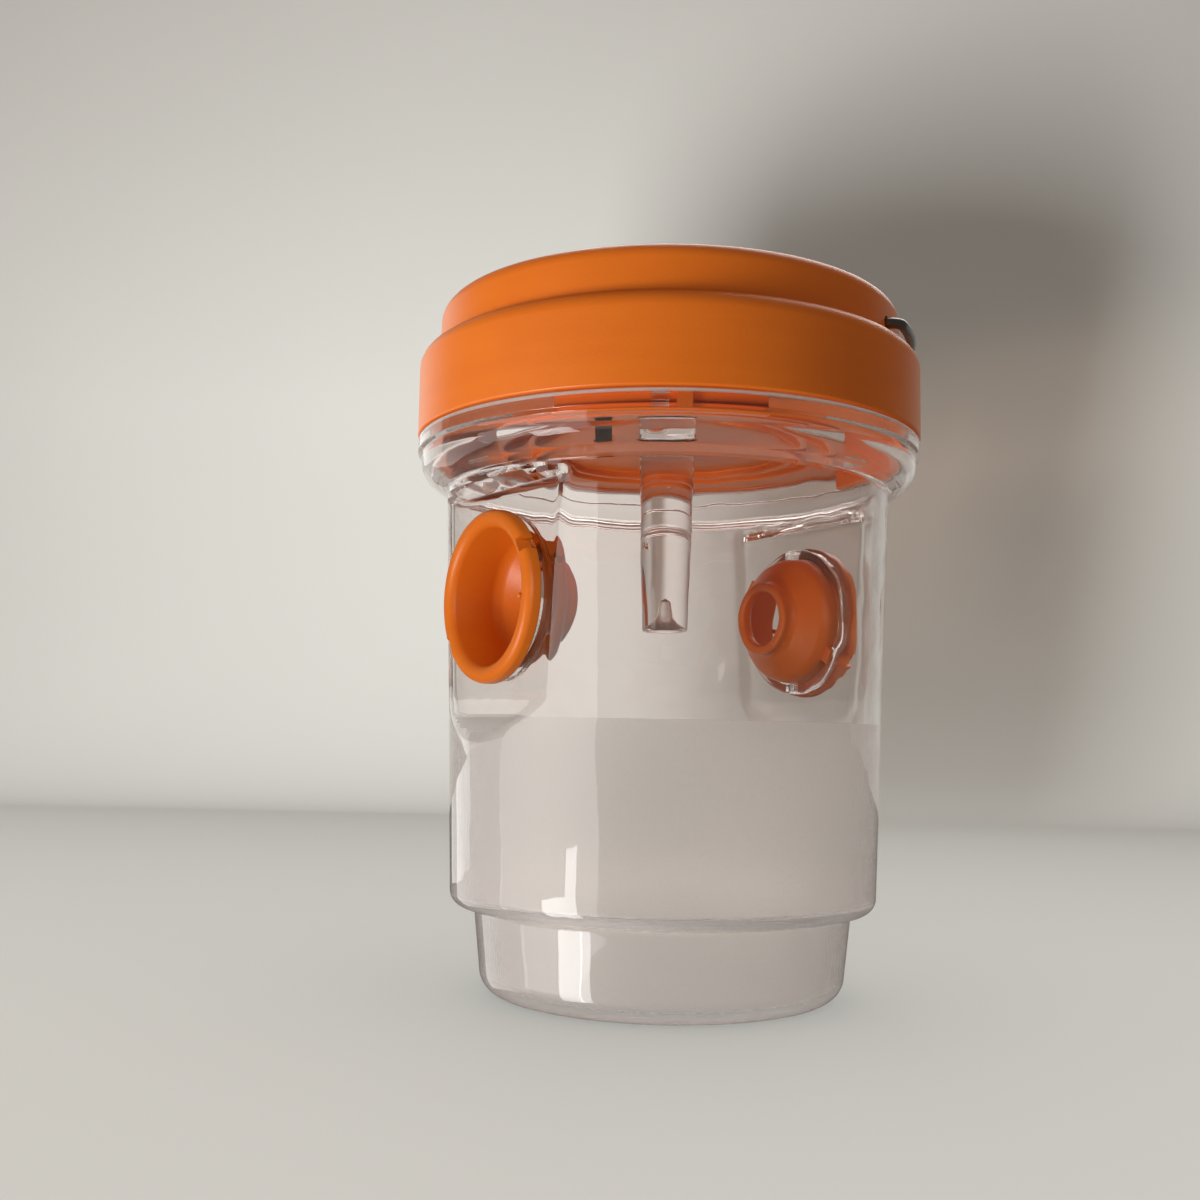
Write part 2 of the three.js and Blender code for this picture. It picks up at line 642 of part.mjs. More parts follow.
// Slide switch: its housing under the board, and the knob that slides in the plate's slot

const housingLow = plateHigh + GAP;
const pocketHigh = housingLow + SWITCH_POCKET;
const housing = block(switchCentre, housingSize, housingLow, boardLow - GAP);
const pocket = block(switchCentre, knobSlot, housingLow - PAST, pocketHigh);
const knobSize = [KNOB_WIDTH, KNOB_LENGTH];
const knob = block([-switchDistance, 0], knobSize, plateLow - KNOB_REACH, pocketHigh - GAP, KNOB_CORNER);
addPart('switch_housing', cut(housing, pocket), black, electronics);
addPart('switch_knob', knob, black, electronics);

// Battery in its cradle, with a flat contact at its nub and a bent leaf at its other end. The leaf has a back
// against the cradle's wall and a tongue sprung towards the cell.

const cell = revolve([
  [0, -CELL_LENGTH / 2],
  [CELL_RADIUS, -CELL_LENGTH / 2, CELL_FILLET],
  [CELL_RADIUS, CELL_LENGTH / 2, CELL_FILLET],
  [CELL_NUB_RADIUS, CELL_LENGTH / 2],
  [CELL_NUB_RADIUS, CELL_LENGTH / 2 + CELL_NUB_LENGTH],
  [0, CELL_LENGTH / 2 + CELL_NUB_LENGTH],
], { sides: ROD_SIDES });

const contactHigh = cellHeight + CONTACT_SIDE / 2;
const plusContact = block(
  [plusContactAt + CONTACT_THICKNESS / 2, cellSide], [CONTACT_THICKNESS, CONTACT_SIDE], cellLow, contactHigh,
);
const leafFront = CONTACT_THICKNESS - LEAF_DEPTH;
const leafOutline = [
  [-LEAF_DEPTH, cellLow], [-LEAF_DEPTH, contactHigh], [leafFront, contactHigh],
  [0, cellHeight], [-CONTACT_THICKNESS, cellHeight - CONTACT_THICKNESS],
  [leafFront, contactHigh - 2 * CONTACT_THICKNESS], [leafFront, cellLow],
];
const leaf = prism(leafOutline, -CONTACT_SIDE / 2, CONTACT_SIDE / 2).rotate([90, 0, 0]);

addPart('battery', cell.rotate([0, 90, 0]).translate([0, cellSide, cellHeight]), cellWrap, electronics);
addPart('battery_plus_contact', plusContact, plated, electronics);
addPart('battery_minus_contact', leaf.translate([leafAt, cellSide, 0]), plated, electronics);

// Screws: the base's come up through the plate into the cap's bosses, the board's go down into its standoffs

function screw({ head, headHeight, shank, length }) {
  return revolve([
    [0, 0], [head, 0, HEAD_CHAMFER], [head, headHeight], [shank, headHeight],
    [shank, headHeight + length - shank], [0, headHeight + length],
  ], { sides: SMALL_SIDES });
}

bossSeats(0).forEach((centre, i) => {
  addPart(`base_screw_${i + 1}`, screw(BASE_SCREW).translate([...centre, plateLow]), plated, electronics);
});

standoffs.forEach((centre, i) => {
  const headTop = boardHigh + GAP + BOARD_SCREW.headHeight;
  const turned = screw(BOARD_SCREW).rotate([180, 0, 0]).translate([...centre, headTop]);
  addPart(`board_screw_${i + 1}`, turned, plated, electronics);
});

// Bail: one wire bent to a half ring, with its ends turned in through the tier's holes. It lies folded back
// round the upper tier, and swings up over the lid.

class BailLine extends THREE.Curve {
  getPoint(t, target = new THREE.Vector3()) {
    const ringRadius = tierRadius + BAIL_CLEARANCE + WIRE_RADIUS;
    const hookEnd = tierRadius - BAIL_HOOK;
    const straight = ringRadius - BAIL_BEND - hookEnd;
    const bendAngle = BAIL_BEND / ringRadius;
    const ringStart = straight + BAIL_BEND_LENGTH;
    const halfLength = ringStart + ringRadius * (Math.PI / 2 - bendAngle);
    const fromEnd = 2 * halfLength * Math.min(t, 1 - t);
    const bend = THREE.MathUtils.clamp((fromEnd - straight) / BAIL_BEND_LENGTH, 0, 1);
    const radius = hookEnd + Math.min(fromEnd, straight) + BAIL_BEND * (1 - (1 - bend) ** 2);
    const angle = bendAngle * bend ** 2 + Math.max(0, fromEnd - ringStart) / ringRadius;
    const turned = radians(BAIL_PIVOT_ANGLE) + (t > 0.5 ? Math.PI - angle : angle);
    return target.set(radius * Math.cos(turned), radius * Math.sin(turned), bailHeight);
  }
}

const wireSection = new THREE.Shape().absarc(0, 0, WIRE_RADIUS, 0, 2 * Math.PI);
const bailSettings = { steps: 56, curveSegments: 4, extrudePath: new BailLine() };
addPart('bail', solid(new THREE.ExtrudeGeometry(wireSection, bailSettings)), wire);

export default trap;
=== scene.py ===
# %% [markdown]
# # A bee trap, dressed for its picture
# The trap is a clear stepped jar with two orange entry funnels, closed by an orange two-tier lid. A lamp in
# the lid lights a clear rod over the bait. The solids already stand at their real size and in their real
# place. This lesson lays smooth, finished pieces over them: the camera comes first, then the finishes, then
# each piece from the jar up to the wire bail, and last the studio.

import math

import bmesh
import bpy
from mathutils import Matrix, Vector


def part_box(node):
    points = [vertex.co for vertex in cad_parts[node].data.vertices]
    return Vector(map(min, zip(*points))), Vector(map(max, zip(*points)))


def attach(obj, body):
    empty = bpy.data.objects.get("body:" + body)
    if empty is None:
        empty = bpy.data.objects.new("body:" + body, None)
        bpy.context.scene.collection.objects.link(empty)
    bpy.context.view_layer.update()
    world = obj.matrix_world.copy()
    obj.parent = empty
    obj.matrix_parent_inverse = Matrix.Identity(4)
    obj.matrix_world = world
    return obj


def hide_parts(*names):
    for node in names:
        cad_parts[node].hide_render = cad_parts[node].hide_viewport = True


MM = 0.001
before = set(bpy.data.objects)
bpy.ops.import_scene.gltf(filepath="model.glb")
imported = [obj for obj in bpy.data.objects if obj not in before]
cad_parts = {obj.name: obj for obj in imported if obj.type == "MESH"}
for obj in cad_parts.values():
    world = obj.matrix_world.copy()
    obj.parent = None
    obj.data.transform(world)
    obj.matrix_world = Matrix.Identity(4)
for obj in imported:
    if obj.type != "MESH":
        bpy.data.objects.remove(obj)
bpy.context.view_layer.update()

# %% [markdown]
# ## The camera
# A camera could be placed by eye, but then no outline can be compared with the photograph. Here its place
# and turn are worked out from the edges of the foot, the collar and the lid: it stands low and close, and
# looks up a little, so that the lid leans back and its rim shows as a wide arc.

# %% Camera
CAMERA_AZIMUTH = math.radians(-37.0)
CAMERA_DISTANCE = 266.5 * MM
CAMERA_HEIGHT = 49.2 * MM
CAMERA_PAN = math.radians(2.8)
CAMERA_TILT = math.radians(5.79)
CAMERA_ROLL = math.radians(1.02)
CAMERA_LENS = 40.08

facing = Matrix.Rotation(CAMERA_AZIMUTH, 4, "Z")
camera = bpy.data.objects.new("camera", bpy.data.cameras.new("camera"))
camera.data.lens = CAMERA_LENS
camera.matrix_world = (
    facing
    @ Matrix.Translation((0, -CAMERA_DISTANCE, CAMERA_HEIGHT))
    @ Matrix.Rotation(CAMERA_PAN, 4, "Z")
    @ Matrix.Rotation(math.pi / 2 + CAMERA_TILT, 4, "X")
    @ Matrix.Rotation(CAMERA_ROLL, 4, "Z")
)
bpy.context.scene.collection.objects.link(camera)
bpy.context.scene.camera = camera
print("camera at", [round(value, 3) for value in camera.matrix_world.translation])

# %% [markdown]
# ## A kit for finishes
# A finish is a tree of shader nodes. Drawn by hand it is a web of noodles; written as Python it reads like
# the sum that it is. `Signal` wraps one socket, so `1 - mask` adds a Math node, and `Finish.node` makes
# every other node from its type, its settings and what goes into its sockets.


# %% Signals and finishes
class Signal:
    """A shader socket that Python's sums can use. Each sum adds one Math node."""

    def __init__(self, finish, socket):
        self.finish = finish
        self.socket = socket

    def sum(self, operation, first, second):
        return self.finish.node("ShaderNodeMath", {"operation": operation}, {0: first, 1: second})

    def __add__(self, other):
        return self.sum("ADD", self, other)

    def __radd__(self, other):
        return self.sum("ADD", other, self)

    def __sub__(self, other):
        return self.sum("SUBTRACT", self, other)

    def __rsub__(self, other):
        return self.sum("SUBTRACT", other, self)

    def __mul__(self, other):
        return self.sum("MULTIPLY", self, other)

    def __rmul__(self, other):
        return self.sum("MULTIPLY", other, self)

    def __gt__(self, other):
        return self.sum("GREATER_THAN", self, other)

    def __lt__(self, other):
        return self.sum("LESS_THAN", self, other)


class Finish:
    """A material, or the world. Its patterns lie on the object's own coordinates and move with it."""

    def __init__(self, name, library=bpy.data.materials):
        self.owner = library.new(name)
        self.owner.use_nodes = True
        self.tree = self.owner.node_tree
        self.tree.nodes.clear()
        self.place = self.node("ShaderNodeTexCoord", output="Object")

    def node(self, kind, settings=None, sockets=None, output=0):
        made = self.tree.nodes.new(kind)
        for name, value in (settings or {}).items():
            setattr(made, name, value)
        for name, value in (sockets or {}).items():
            if isinstance(value, Signal):
                self.tree.links.new(value.socket, made.inputs[name])
            else:
                made.inputs[name].default_value = value
        return Signal(self, made.outputs[output]) if made.outputs else None

    def turned(self, angle=0.0, stretch=(1, 1, 1)):
        sockets = {"Vector": self.place, "Rotation": (0, 0, angle), "Scale": stretch}
        return self.node("ShaderNodeMapping", {"vector_type": "POINT"}, sockets)

    def noise(self, scale, detail=2.0, stretch=(1, 1, 1)):
        sockets = {"Vector": self.turned(stretch=stretch), "Scale": scale, "Detail": detail}
        return self.node("ShaderNodeTexNoise", sockets=sockets)

    def axes(self, vector):
        return [self.node("ShaderNodeSeparateXYZ", sockets={0: vector}, output=axis) for axis in "XYZ"]

    def mix(self, share, first, second):
        return self.node("ShaderNodeMix", {"data_type": "RGBA"}, {0: share, 6: first, 7: second}, output=2)

    def bump(self, height, depth, strength=1.0):
        sockets = {"Height": height, "Distance": depth, "Strength": strength}
        return self.node("ShaderNodeBump", sockets=sockets)

    def principled(self, sockets):
        return self.node("ShaderNodeBsdfPrincipled", sockets=sockets)

    def surface(self, shader):
        self.node("ShaderNodeOutputMaterial", sockets={"Surface": shader})
        return self.owner

    def plastic(self, sockets):
        return self.surface(self.principled(sockets))


print("finish kit:", Signal.__name__, Finish.__name__)

# %% [markdown]
# ## Shapes from outlines
# Nearly every piece of this trap is round, so each starts as a few corners in the plane of radius and
# height. A vertex bevel rounds the corners, and a spin turns the wire into a wall. Subdivision would need
# support loops to keep the thin rims crisp; a spun outline keeps its radii exact.

# %% Outlines and spins
FILLET_TURN = math.radians(11)
ROOM_SHARE = 0.96
POLE_GAP = 1e-6
EDGE_STEPS = 4


def round_corner(bm, vert, fillet):
    """Swaps a wire's corner for an arc that touches both of its sides, as far as they have room."""
    sides = [edge.other_vert(vert).co - vert.co for edge in vert.link_edges]
    between = sides[0].angle(sides[1])
    reach = fillet * MM / math.tan(between / 2)
    room = ROOM_SHARE * min(side.length for side in sides)
    bmesh.ops.bevel(
        bm, geom=[vert], offset=min(reach, room), offset_type="OFFSET", affect="VERTICES",
        segments=math.ceil((math.pi - between) / FILLET_TURN), profile=0.5, material=-1,
    )


def outline(corners, closed=False):
    """A wire through (radius, height, fillet) corners, in millimetres, in the plane of X and Z."""
    bm = bmesh.new()
    wire = [bm.verts.new((radius * MM, 0, height * MM)) for radius, height, *_ in corners]
    ends = wire[1:] + wire[:1] if closed else wire[1:]
    for start, end in zip(wire, ends):
        bm.edges.new((start, end))
    for vert, (_, _, *fillet) in zip(wire, corners):
        if fillet:
            round_corner(bm, vert, *fillet)
    return bm


def split_walls(bm, longest):
    """Cuts the upright stretches of a wire into steps, so that the spun wall can be drawn in."""
    for edge in bm.edges[:]:
        rise = abs(edge.verts[0].co.z - edge.verts[1].co.z)
        cuts = int(rise / (longest * MM))
        if cuts:
            bmesh.ops.subdivide_edges(bm, edges=[edge], cuts=cuts)


def spin(bm, steps):
    """Turns a wire about the Z axis into a closed skin that faces out."""
    bmesh.ops.spin(
        bm, geom=bm.verts[:] + bm.edges[:], cent=(0, 0, 0), axis=(0, 0, 1),
        angle=math.tau, steps=steps, use_merge=True,
    )
    bmesh.ops.remove_doubles(bm, verts=bm.verts, dist=POLE_GAP)
    bmesh.ops.recalc_face_normals(bm, faces=bm.faces)
    return bm


def sector(corners, middle, width, steps):
    """A closed outline swept through part of a turn, with a flat face at each end."""
    bm = outline(corners, closed=True)
    bmesh.ops.contextual_create(bm, geom=bm.edges)
    start = Matrix.Rotation(math.radians(middle - width / 2), 4, "Z")
    bmesh.ops.transform(bm, matrix=start, verts=bm.verts)
    bmesh.ops.spin(
        bm, geom=bm.verts[:] + bm.edges[:] + bm.faces[:], cent=(0, 0, 0), axis=(0, 0, 1),
        angle=math.radians(width), steps=steps,
    )
    bmesh.ops.recalc_face_normals(bm, faces=bm.faces)
    return bm


def block(centre, size, bevel=0.0, upright=0.0):
    """A box in millimetres. upright rounds its standing edges, and bevel then all the rest."""
    bm = bmesh.new()
    bmesh.ops.create_cube(bm, size=1.0)
    bmesh.ops.scale(bm, vec=Vector(size) * MM, verts=bm.verts)
    standing = [edge for edge in bm.edges if abs(edge.verts[0].co.z - edge.verts[1].co.z) > POLE_GAP]
    for edges, radius in ((standing, upright), (None, bevel)):
        if radius:
            bmesh.ops.bevel(
                bm, geom=edges or bm.edges[:], offset=radius * MM, offset_type="OFFSET", affect="EDGES",
                segments=EDGE_STEPS, profile=0.5, material=-1, clamp_overlap=True,
            )
    bmesh.ops.translate(bm, vec=Vector(centre) * MM, verts=bm.verts)
    return bm


def prism(points, way):
    """A flat face through points, pulled out along way. Both are in millimetres."""
    bm = bmesh.new()
    face = bm.faces.new([bm.verts.new(Vector(point) * MM) for point in points])
    pulled = bmesh.ops.extrude_face_region(bm, geom=[face])["geom"]
    far_points = [part for part in pulled if isinstance(part, bmesh.types.BMVert)]
    bmesh.ops.translate(bm, vec=Vector(way) * MM, verts=far_points)
    bmesh.ops.recalc_face_normals(bm, faces=bm.faces)
    return bm


def placed(bm, matrix):
    bmesh.ops.transform(bm, matrix=matrix, verts=bm.verts)
    return bm


def gathered(shapes):
    """Several shapes in one bmesh."""
    whole = bmesh.new()
    for shape in shapes:
        part = bpy.data.meshes.new("part")
        shape.to_mesh(part)
        shape.free()
        whole.from_mesh(part)
        bpy.data.meshes.remove(part)
    return whole


print("outline helpers ready")

# %% [markdown]
# ## Joining and cutting
# The jar's lip rings and holes, and the lid's recess, can't come out of a spin alone. A Boolean modifier
# joins or cuts with a second shape, and the evaluated mesh is read straight back, so no modifier and no
# helper object is left on the finished piece.

# %% Booleans and finished pieces
SHARP_ANGLE = math.radians(16)


def helper(bm):
    mesh = bpy.data.meshes.new("helper")
    bm.to_mesh(mesh)
    bm.free()
    made = bpy.data.objects.new("helper", mesh)
    bpy.context.scene.collection.objects.link(made)
    return made


def combined(base, *steps):
    """base after each (operation, shape) in turn."""
    target = helper(base)
    tools = []
    for operation, shape in steps:
        modifier = target.modifiers.new(operation, "BOOLEAN")
        modifier.object = helper(shape)
        modifier.operation = operation
        modifier.solver = "MANIFOLD"
        tools.append(modifier.object)
    result = bmesh.new()
    result.from_object(target, bpy.context.evaluated_depsgraph_get())
    for used in (target, *tools):
        mesh = used.data
        bpy.data.objects.remove(used)
        bpy.data.meshes.remove(mesh)
    return result


def piece(name, bm, finishes, body, nodes):
    """A finished piece: smooth where it curves, crisp at its edges, riding on its body for its nodes."""
    mesh = bpy.data.meshes.new(name)
    bm.to_mesh(mesh)
    bm.free()
    for finish in finishes:
        mesh.materials.append(finish)
    mesh.shade_smooth()
    mesh.set_sharp_from_angle(angle=SHARP_ANGLE)
    made = bpy.data.objects.new(name, mesh)
    bpy.context.scene.collection.objects.link(made)
    made.modifiers.new("even_normals", "WEIGHTED_NORMAL").keep_sharp = True
    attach(made, body)
    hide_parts(*nodes)
    print(name, len(mesh.polygons), "faces on", body)
    return made


print("edges sharper than", round(math.degrees(SHARP_ANGLE)), "degrees stay crisp")

# %% [markdown]
# ## Clear and frosted plastic
# The jar and the rod are one clear moulding plastic. A real wall with an inside and an outside bends the
# light by itself, so the shader only needs its index and a trace of unevenness from the mould. Lamps shine
# through it by a Transparent shader for shadow rays, because plain glass would leave the inside of the jar
# black. The lower inside of the jar is spark-eroded in the mould: the same plastic with a grain that
# scatters light.

# %% Clear and frosted plastic
CLEAR_INDEX = 1.5
CLEAR_TINT = (0.985, 0.940, 0.928, 1)
CLEAR_SWIRL = (0.99, 0.966, 0.962, 1)
CLEAR_SHADE = (0.80, 0.73, 0.69, 1)
FROST_TINT = (0.76, 0.73, 0.72, 1)
FROST_PALE = (0.985, 0.965, 0.96, 1)
FROST_SHADE = (0.40, 0.36, 0.34, 1)
FROST_GRAIN = 3600.0
# Pale colours of the rim's painted glow line: a painted highlight, not the plastic's own colour.
RIM_GLOW_DULL = (0.90, 0.83, 0.80, 1)
RIM_GLOW_PALE = (0.96, 0.90, 0.87, 1)


def lets_lamps_through(finish, shader, shade):
    shadow = finish.node("ShaderNodeLightPath", output="Is Shadow Ray")
    open_way = finish.node("ShaderNodeBsdfTransparent", sockets={"Color": shade})
    return finish.node("ShaderNodeMixShader", sockets={0: shadow, 1: shader, 2: open_way})


def clear_plastic():
    finish = Finish("clear_plastic")
    swirl = finish.noise(55, 2.0)
    rubbed = finish.noise(420, 3.0, stretch=(1, 1, 0.15))
    shader = finish.principled({
        "Base Color": finish.mix(swirl, CLEAR_TINT, CLEAR_SWIRL),
        "Roughness": 0.004 + rubbed * 0.02,
        "IOR": CLEAR_INDEX,
        "Transmission Weight": 1.0,
        "Normal": finish.bump(swirl, 0.8 * MM, 0.3),
    })
    return finish.surface(lets_lamps_through(finish, shader, CLEAR_SHADE))


def frosted_plastic():
    finish = Finish("frosted_plastic")
    grain = finish.noise(FROST_GRAIN, 2.0)
    cloud = finish.noise(90, 2.0)
    shader = finish.principled({
        "Base Color": finish.mix(grain, FROST_TINT, FROST_PALE),
        "Roughness": 0.38 + grain * 0.14 + cloud * 0.06,
        "IOR": CLEAR_INDEX,
        "Transmission Weight": 1.0,
        "Normal": finish.bump(grain, 0.04 * MM, 0.6),
    })
    return finish.surface(lets_lamps_through(finish, shader, FROST_SHADE))


# A pale, mostly matte band on the rim's top edge. It is a painted highlight that stands in for the bright
# line of light the clear rim carries round its edge.
def rim_edge():
    finish = Finish("rim_edge")
    grain = finish.noise(900, 2.0)
    shader = finish.principled({
        "Base Color": finish.mix(grain, RIM_GLOW_DULL, RIM_GLOW_PALE),
        "Roughness": 0.30 + grain * 0.15,
        "IOR": CLEAR_INDEX,
        "Transmission Weight": 0.25,
    })
    return finish.surface(lets_lamps_through(finish, shader, CLEAR_SHADE))


CLEAR = clear_plastic()
FROSTED = frosted_plastic()
PAINTED_RIM_GLOW = rim_edge()
print("clear finishes:", CLEAR.name, FROSTED.name, PAINTED_RIM_GLOW.name)

# %% [markdown]
# ## Orange plastic
# The lid and the funnels are glossy moulded plastic in one orange. Up close it is never one colour: pigment
# clouds a little, the melt leaves faint lines round the axis, and the gloss has a very fine orange peel.

# %% Orange plastic
ORANGE_DEEP = (0.66, 0.135, 0.008, 1)
ORANGE_PALE = (0.80, 0.20, 0.014, 1)
ORANGE_INDEX = 1.5


def orange_plastic():
    finish = Finish("orange_plastic")
    cloud = finish.noise(60, 3.0)
    flow = finish.noise(26, 4.0, stretch=(1, 1, 11))
    peel = finish.noise(1900, 1.0)
    return finish.plastic({
        "Base Color": finish.mix(cloud * 0.45 + flow * 0.55, ORANGE_DEEP, ORANGE_PALE),
        "Roughness": 0.32 + cloud * 0.06 + peel * 0.05,
        "IOR": ORANGE_INDEX,
        "Specular IOR Level": 0.27,
        "Subsurface Weight": 0.12,
        "Subsurface Radius": (1.0, 0.35, 0.08),
        "Subsurface Scale": 1.6 * MM,
        "Normal": finish.bump(peel + flow * 0.6, 0.03 * MM, 0.6),
    })


ORANGE = orange_plastic()
print("orange finish:", ORANGE.name)

# %% [markdown]
# ## The jar
# One clear moulding: a narrow foot, a rounded step, a body that widens upwards and a collar for the lid. It
# is spun from a single outline that runs up the outside and down the inside. The wall is then drawn in to a
# flat pad on each side by moving its points. A Boolean would cut the pads with knife edges, and each edge
# would show as a black line in clear plastic; a soft limit leaves them rounded, as in the mould.

# %% Jar skin
WALL = 2.0
FOOT = (34.7, 0)
STEP = (36.5, 16.5)
BODY_LOW = (41.1, 16.8)
BODY_HIGH = (43.9, 97.0)
COLLAR_FOOT = (48.8, 98.8)
RIM_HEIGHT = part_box("jar")[1].z / MM
RIM_RADIUS = 49.9
RIM_BORE = 47.6
RIM_BAND = 2.8
RIM_STEP = 0.7
RIM_SLOPE = 0.5
RIM_FILLET = 0.55
NECK_FLOOR = 100.4
LEDGE_INSIDE = 98.0
JAR_SIDES = 288
WALL_STEP = 0.8

jar_corners = [
    (0, 0), (*FOOT, 4.5), (*STEP, 1.0), (*BODY_LOW, 2.6), (*BODY_HIGH, 0.9), (*COLLAR_FOOT, 4.0),
    (RIM_RADIUS - RIM_STEP, RIM_HEIGHT - RIM_BAND - RIM_SLOPE, 0.4), (RIM_RADIUS, RIM_HEIGHT - RIM_BAND, 0.3),
    (RIM_RADIUS, RIM_HEIGHT, RIM_FILLET), (RIM_BORE, RIM_HEIGHT, 0.4), (RIM_BORE, NECK_FLOOR, 5.0),
    (BODY_HIGH[0] - WALL, LEDGE_INSIDE, 1.6), (BODY_LOW[0] - WALL, BODY_LOW[1] + WALL, 0.6),
    (STEP[0] - WALL, STEP[1] + WALL, 3.0), (FOOT[0] - WALL, WALL, 2.5), (0, WALL),
]
jar_wire = outline(jar_corners)
split_walls(jar_wire, WALL_STEP)
jar_skin = spin(jar_wire, JAR_SIDES)
print("jar skin:", len(jar_skin.verts), "points")

# %% Draw the wall in to its pads
PAD_DISTANCE = 38.5
PAD_LOW = 56.0
PAD_HIGH = 94.0
PAD_LOW_SLOPE = 1.9
PAD_HIGH_SLOPE = 0.38
SHELF_RISE = 1.3
PAD_SOFTNESS = 0.8
EDGE_ANGLE = math.radians(26.7)
EDGE_SPREAD = math.radians(26)
EDGE_CROWDING = 0.55


def crowded(angle):
    """An angle from a pad's middle, moved towards the pad's edge, where the wall bends most."""
    from_edge = abs(angle) - EDGE_ANGLE
    if abs(from_edge) > EDGE_SPREAD / 2:
        return angle
    shift = EDGE_CROWDING * EDGE_SPREAD / math.tau * math.sin(math.tau * from_edge / EDGE_SPREAD)
    return math.copysign(abs(angle) - shift, angle)


def soft_least(first, second, softness):
    """The smaller of two values, rounded where they meet."""
    share = min(1, max(0, 0.5 + 0.5 * (second - first) / softness))
    return second + (first - second) * share - softness * share * (1 - share)


def soft_most(first, second, softness):
    return -soft_least(-first, -second, softness)


def pad_limit(height, shelf):
    """How far from the axis a pad lies at a height, with a run-out below and a shelf above."""
    below = PAD_DISTANCE + (PAD_LOW - height) / PAD_LOW_SLOPE
    above = PAD_DISTANCE + (height - shelf) / PAD_HIGH_SLOPE
    return soft_most(above, soft_most(below, PAD_DISTANCE, PAD_SOFTNESS), PAD_SOFTNESS)


def body_radius(height):
    share = (height - BODY_LOW[1]) / (BODY_HIGH[1] - BODY_LOW[1])
    return BODY_LOW[0] + share * (BODY_HIGH[0] - BODY_LOW[0])


for vert in jar_skin.verts:
    x, y, z = vert.co / MM
    radius = math.hypot(x, y)
    angle = crowded(math.atan2(y, abs(x)))
    out = radius * math.cos(angle)
    if radius < body_radius(z) - WALL / 2:
        limit = pad_limit(z, PAD_HIGH + SHELF_RISE) - WALL
    else:
        limit = pad_limit(z, PAD_HIGH)
    if BODY_LOW[1] + WALL < z < RIM_HEIGHT:
        out = soft_least(out, limit, PAD_SOFTNESS)
    vert.co = Vector((math.copysign(out, x), radius * math.sin(angle), z)) * MM
print("pads drawn in to", PAD_DISTANCE, "mm from the axis")

# %% Lip rings, holes and catches
FUNNEL_HEIGHT = 74.2
HOLE_RADIUS = 13.6
RING_RADIUS = 15.5
RING_BORE = HOLE_RADIUS - 0.6
RING_BACK = -3.6
RING_SIDES = 96
DRILL_PAST = 1.0
DRILL_FRONT = 2.0
NOTCH_REACH = 15.2
NOTCH_WIDTH = 4.4
NOTCH_FILLET = 0.4
FRONT_CATCH = -128.5
CATCH_MIDDLES = [FRONT_CATCH + angle for angle in (0, -100, 100)]
CATCH_WIDTH = 3.6
CATCH_STEPS = 4
CATCH_LOW = RIM_HEIGHT - 1.8
CATCH_HIGH = RIM_HEIGHT - 0.5
CATCH_RADIUS = RIM_BORE - 1.2
OVERLAP = 0.4

# What stands on a pad is drawn along Z from the pad's face, with its own Y up, and then laid on its side.
on_right_pad = (
    Matrix.Translation(Vector((PAD_DISTANCE, 0, FUNNEL_HEIGHT)) * MM)
    @ Matrix.Rotation(math.pi / 2, 4, "Z")
    @ Matrix.Rotation(math.pi / 2, 4, "X")
)
PADS = {"right": on_right_pad, "left": Matrix.Rotation(math.pi, 4, "Z") @ on_right_pad}


def on_both_pads(make):
    return gathered([placed(make(), pad) for pad in PADS.values()])


def lip_ring():
    corners = [
        (RING_BORE, RING_BACK, 0.4), (RING_RADIUS, RING_BACK, 0.7),
        (RING_RADIUS, OVERLAP - WALL), (RING_BORE, OVERLAP - WALL),
    ]
    return spin(outline(corners, closed=True), RING_SIDES)


def hole():
    back = RING_BACK - DRILL_PAST
    corners = [(0, back), (HOLE_RADIUS, back), (HOLE_RADIUS, DRILL_FRONT), (0, DRILL_FRONT)]
    return spin(outline(corners), RING_SIDES)


def ring_notch():
    size = (NOTCH_WIDTH, 2 * NOTCH_REACH, DRILL_FRONT - RING_BACK)
    return block((0, 0, RING_BACK / 2), size, upright=NOTCH_FILLET)


def lid_catch(middle):
    corners = [
        (CATCH_RADIUS, CATCH_LOW, 0.4), (RIM_BORE + OVERLAP, CATCH_LOW),
        (RIM_BORE + OVERLAP, CATCH_HIGH), (CATCH_RADIUS, CATCH_HIGH, 0.4),
    ]
    return sector(corners, middle, CATCH_WIDTH, CATCH_STEPS)


jar_solid = combined(
    jar_skin,
    ("UNION", on_both_pads(lip_ring)),
    ("DIFFERENCE", on_both_pads(hole)),
    ("DIFFERENCE", on_both_pads(ring_notch)),
    ("UNION", gathered([lid_catch(middle) for middle in CATCH_MIDDLES])),
)
print("jar with lip rings and catches:", len(jar_solid.faces), "faces")

# %% Frost the lower inside, and paint a pale glow line on the rim
FROST_HEIGHT = 52.2
FACES_UP = 0.3
JAR_FINISHES = [CLEAR, FROSTED, PAINTED_RIM_GLOW]


def jar_finish(face):
    middle = face.calc_center_median()
    inward = -(face.normal.x * middle.x + face.normal.y * middle.y)
    # The rim's top edge gets the painted glow line.
    if middle.z > (RIM_HEIGHT - RIM_FILLET) * MM:
        return PAINTED_RIM_GLOW
    faces_inside = inward > 0 or face.normal.z > FACES_UP
    return FROSTED if faces_inside and middle.z < FROST_HEIGHT * MM else CLEAR


everything = jar_solid.verts[:] + jar_solid.edges[:] + jar_solid.faces[:]
bmesh.ops.bisect_plane(jar_solid, geom=everything, plane_co=(0, 0, FROST_HEIGHT * MM), plane_no=(0, 0, 1))
for face in jar_solid.faces:
    face.material_index = JAR_FINISHES.index(jar_finish(face))
piece("jar_shell", jar_solid, JAR_FINISHES, "jar", ["jar"])

# %% [markdown]
# ## The entry funnels
# Each funnel is one moulding: a round bead outside the pad, a barrel through the hole, and a cone that
# narrows to the short tube a bee squeezes through. Two lugs on the barrel lock behind the lip ring when it
# is twisted, and a notch in the bead stands over each. Small nibs are left where the mould was fed.

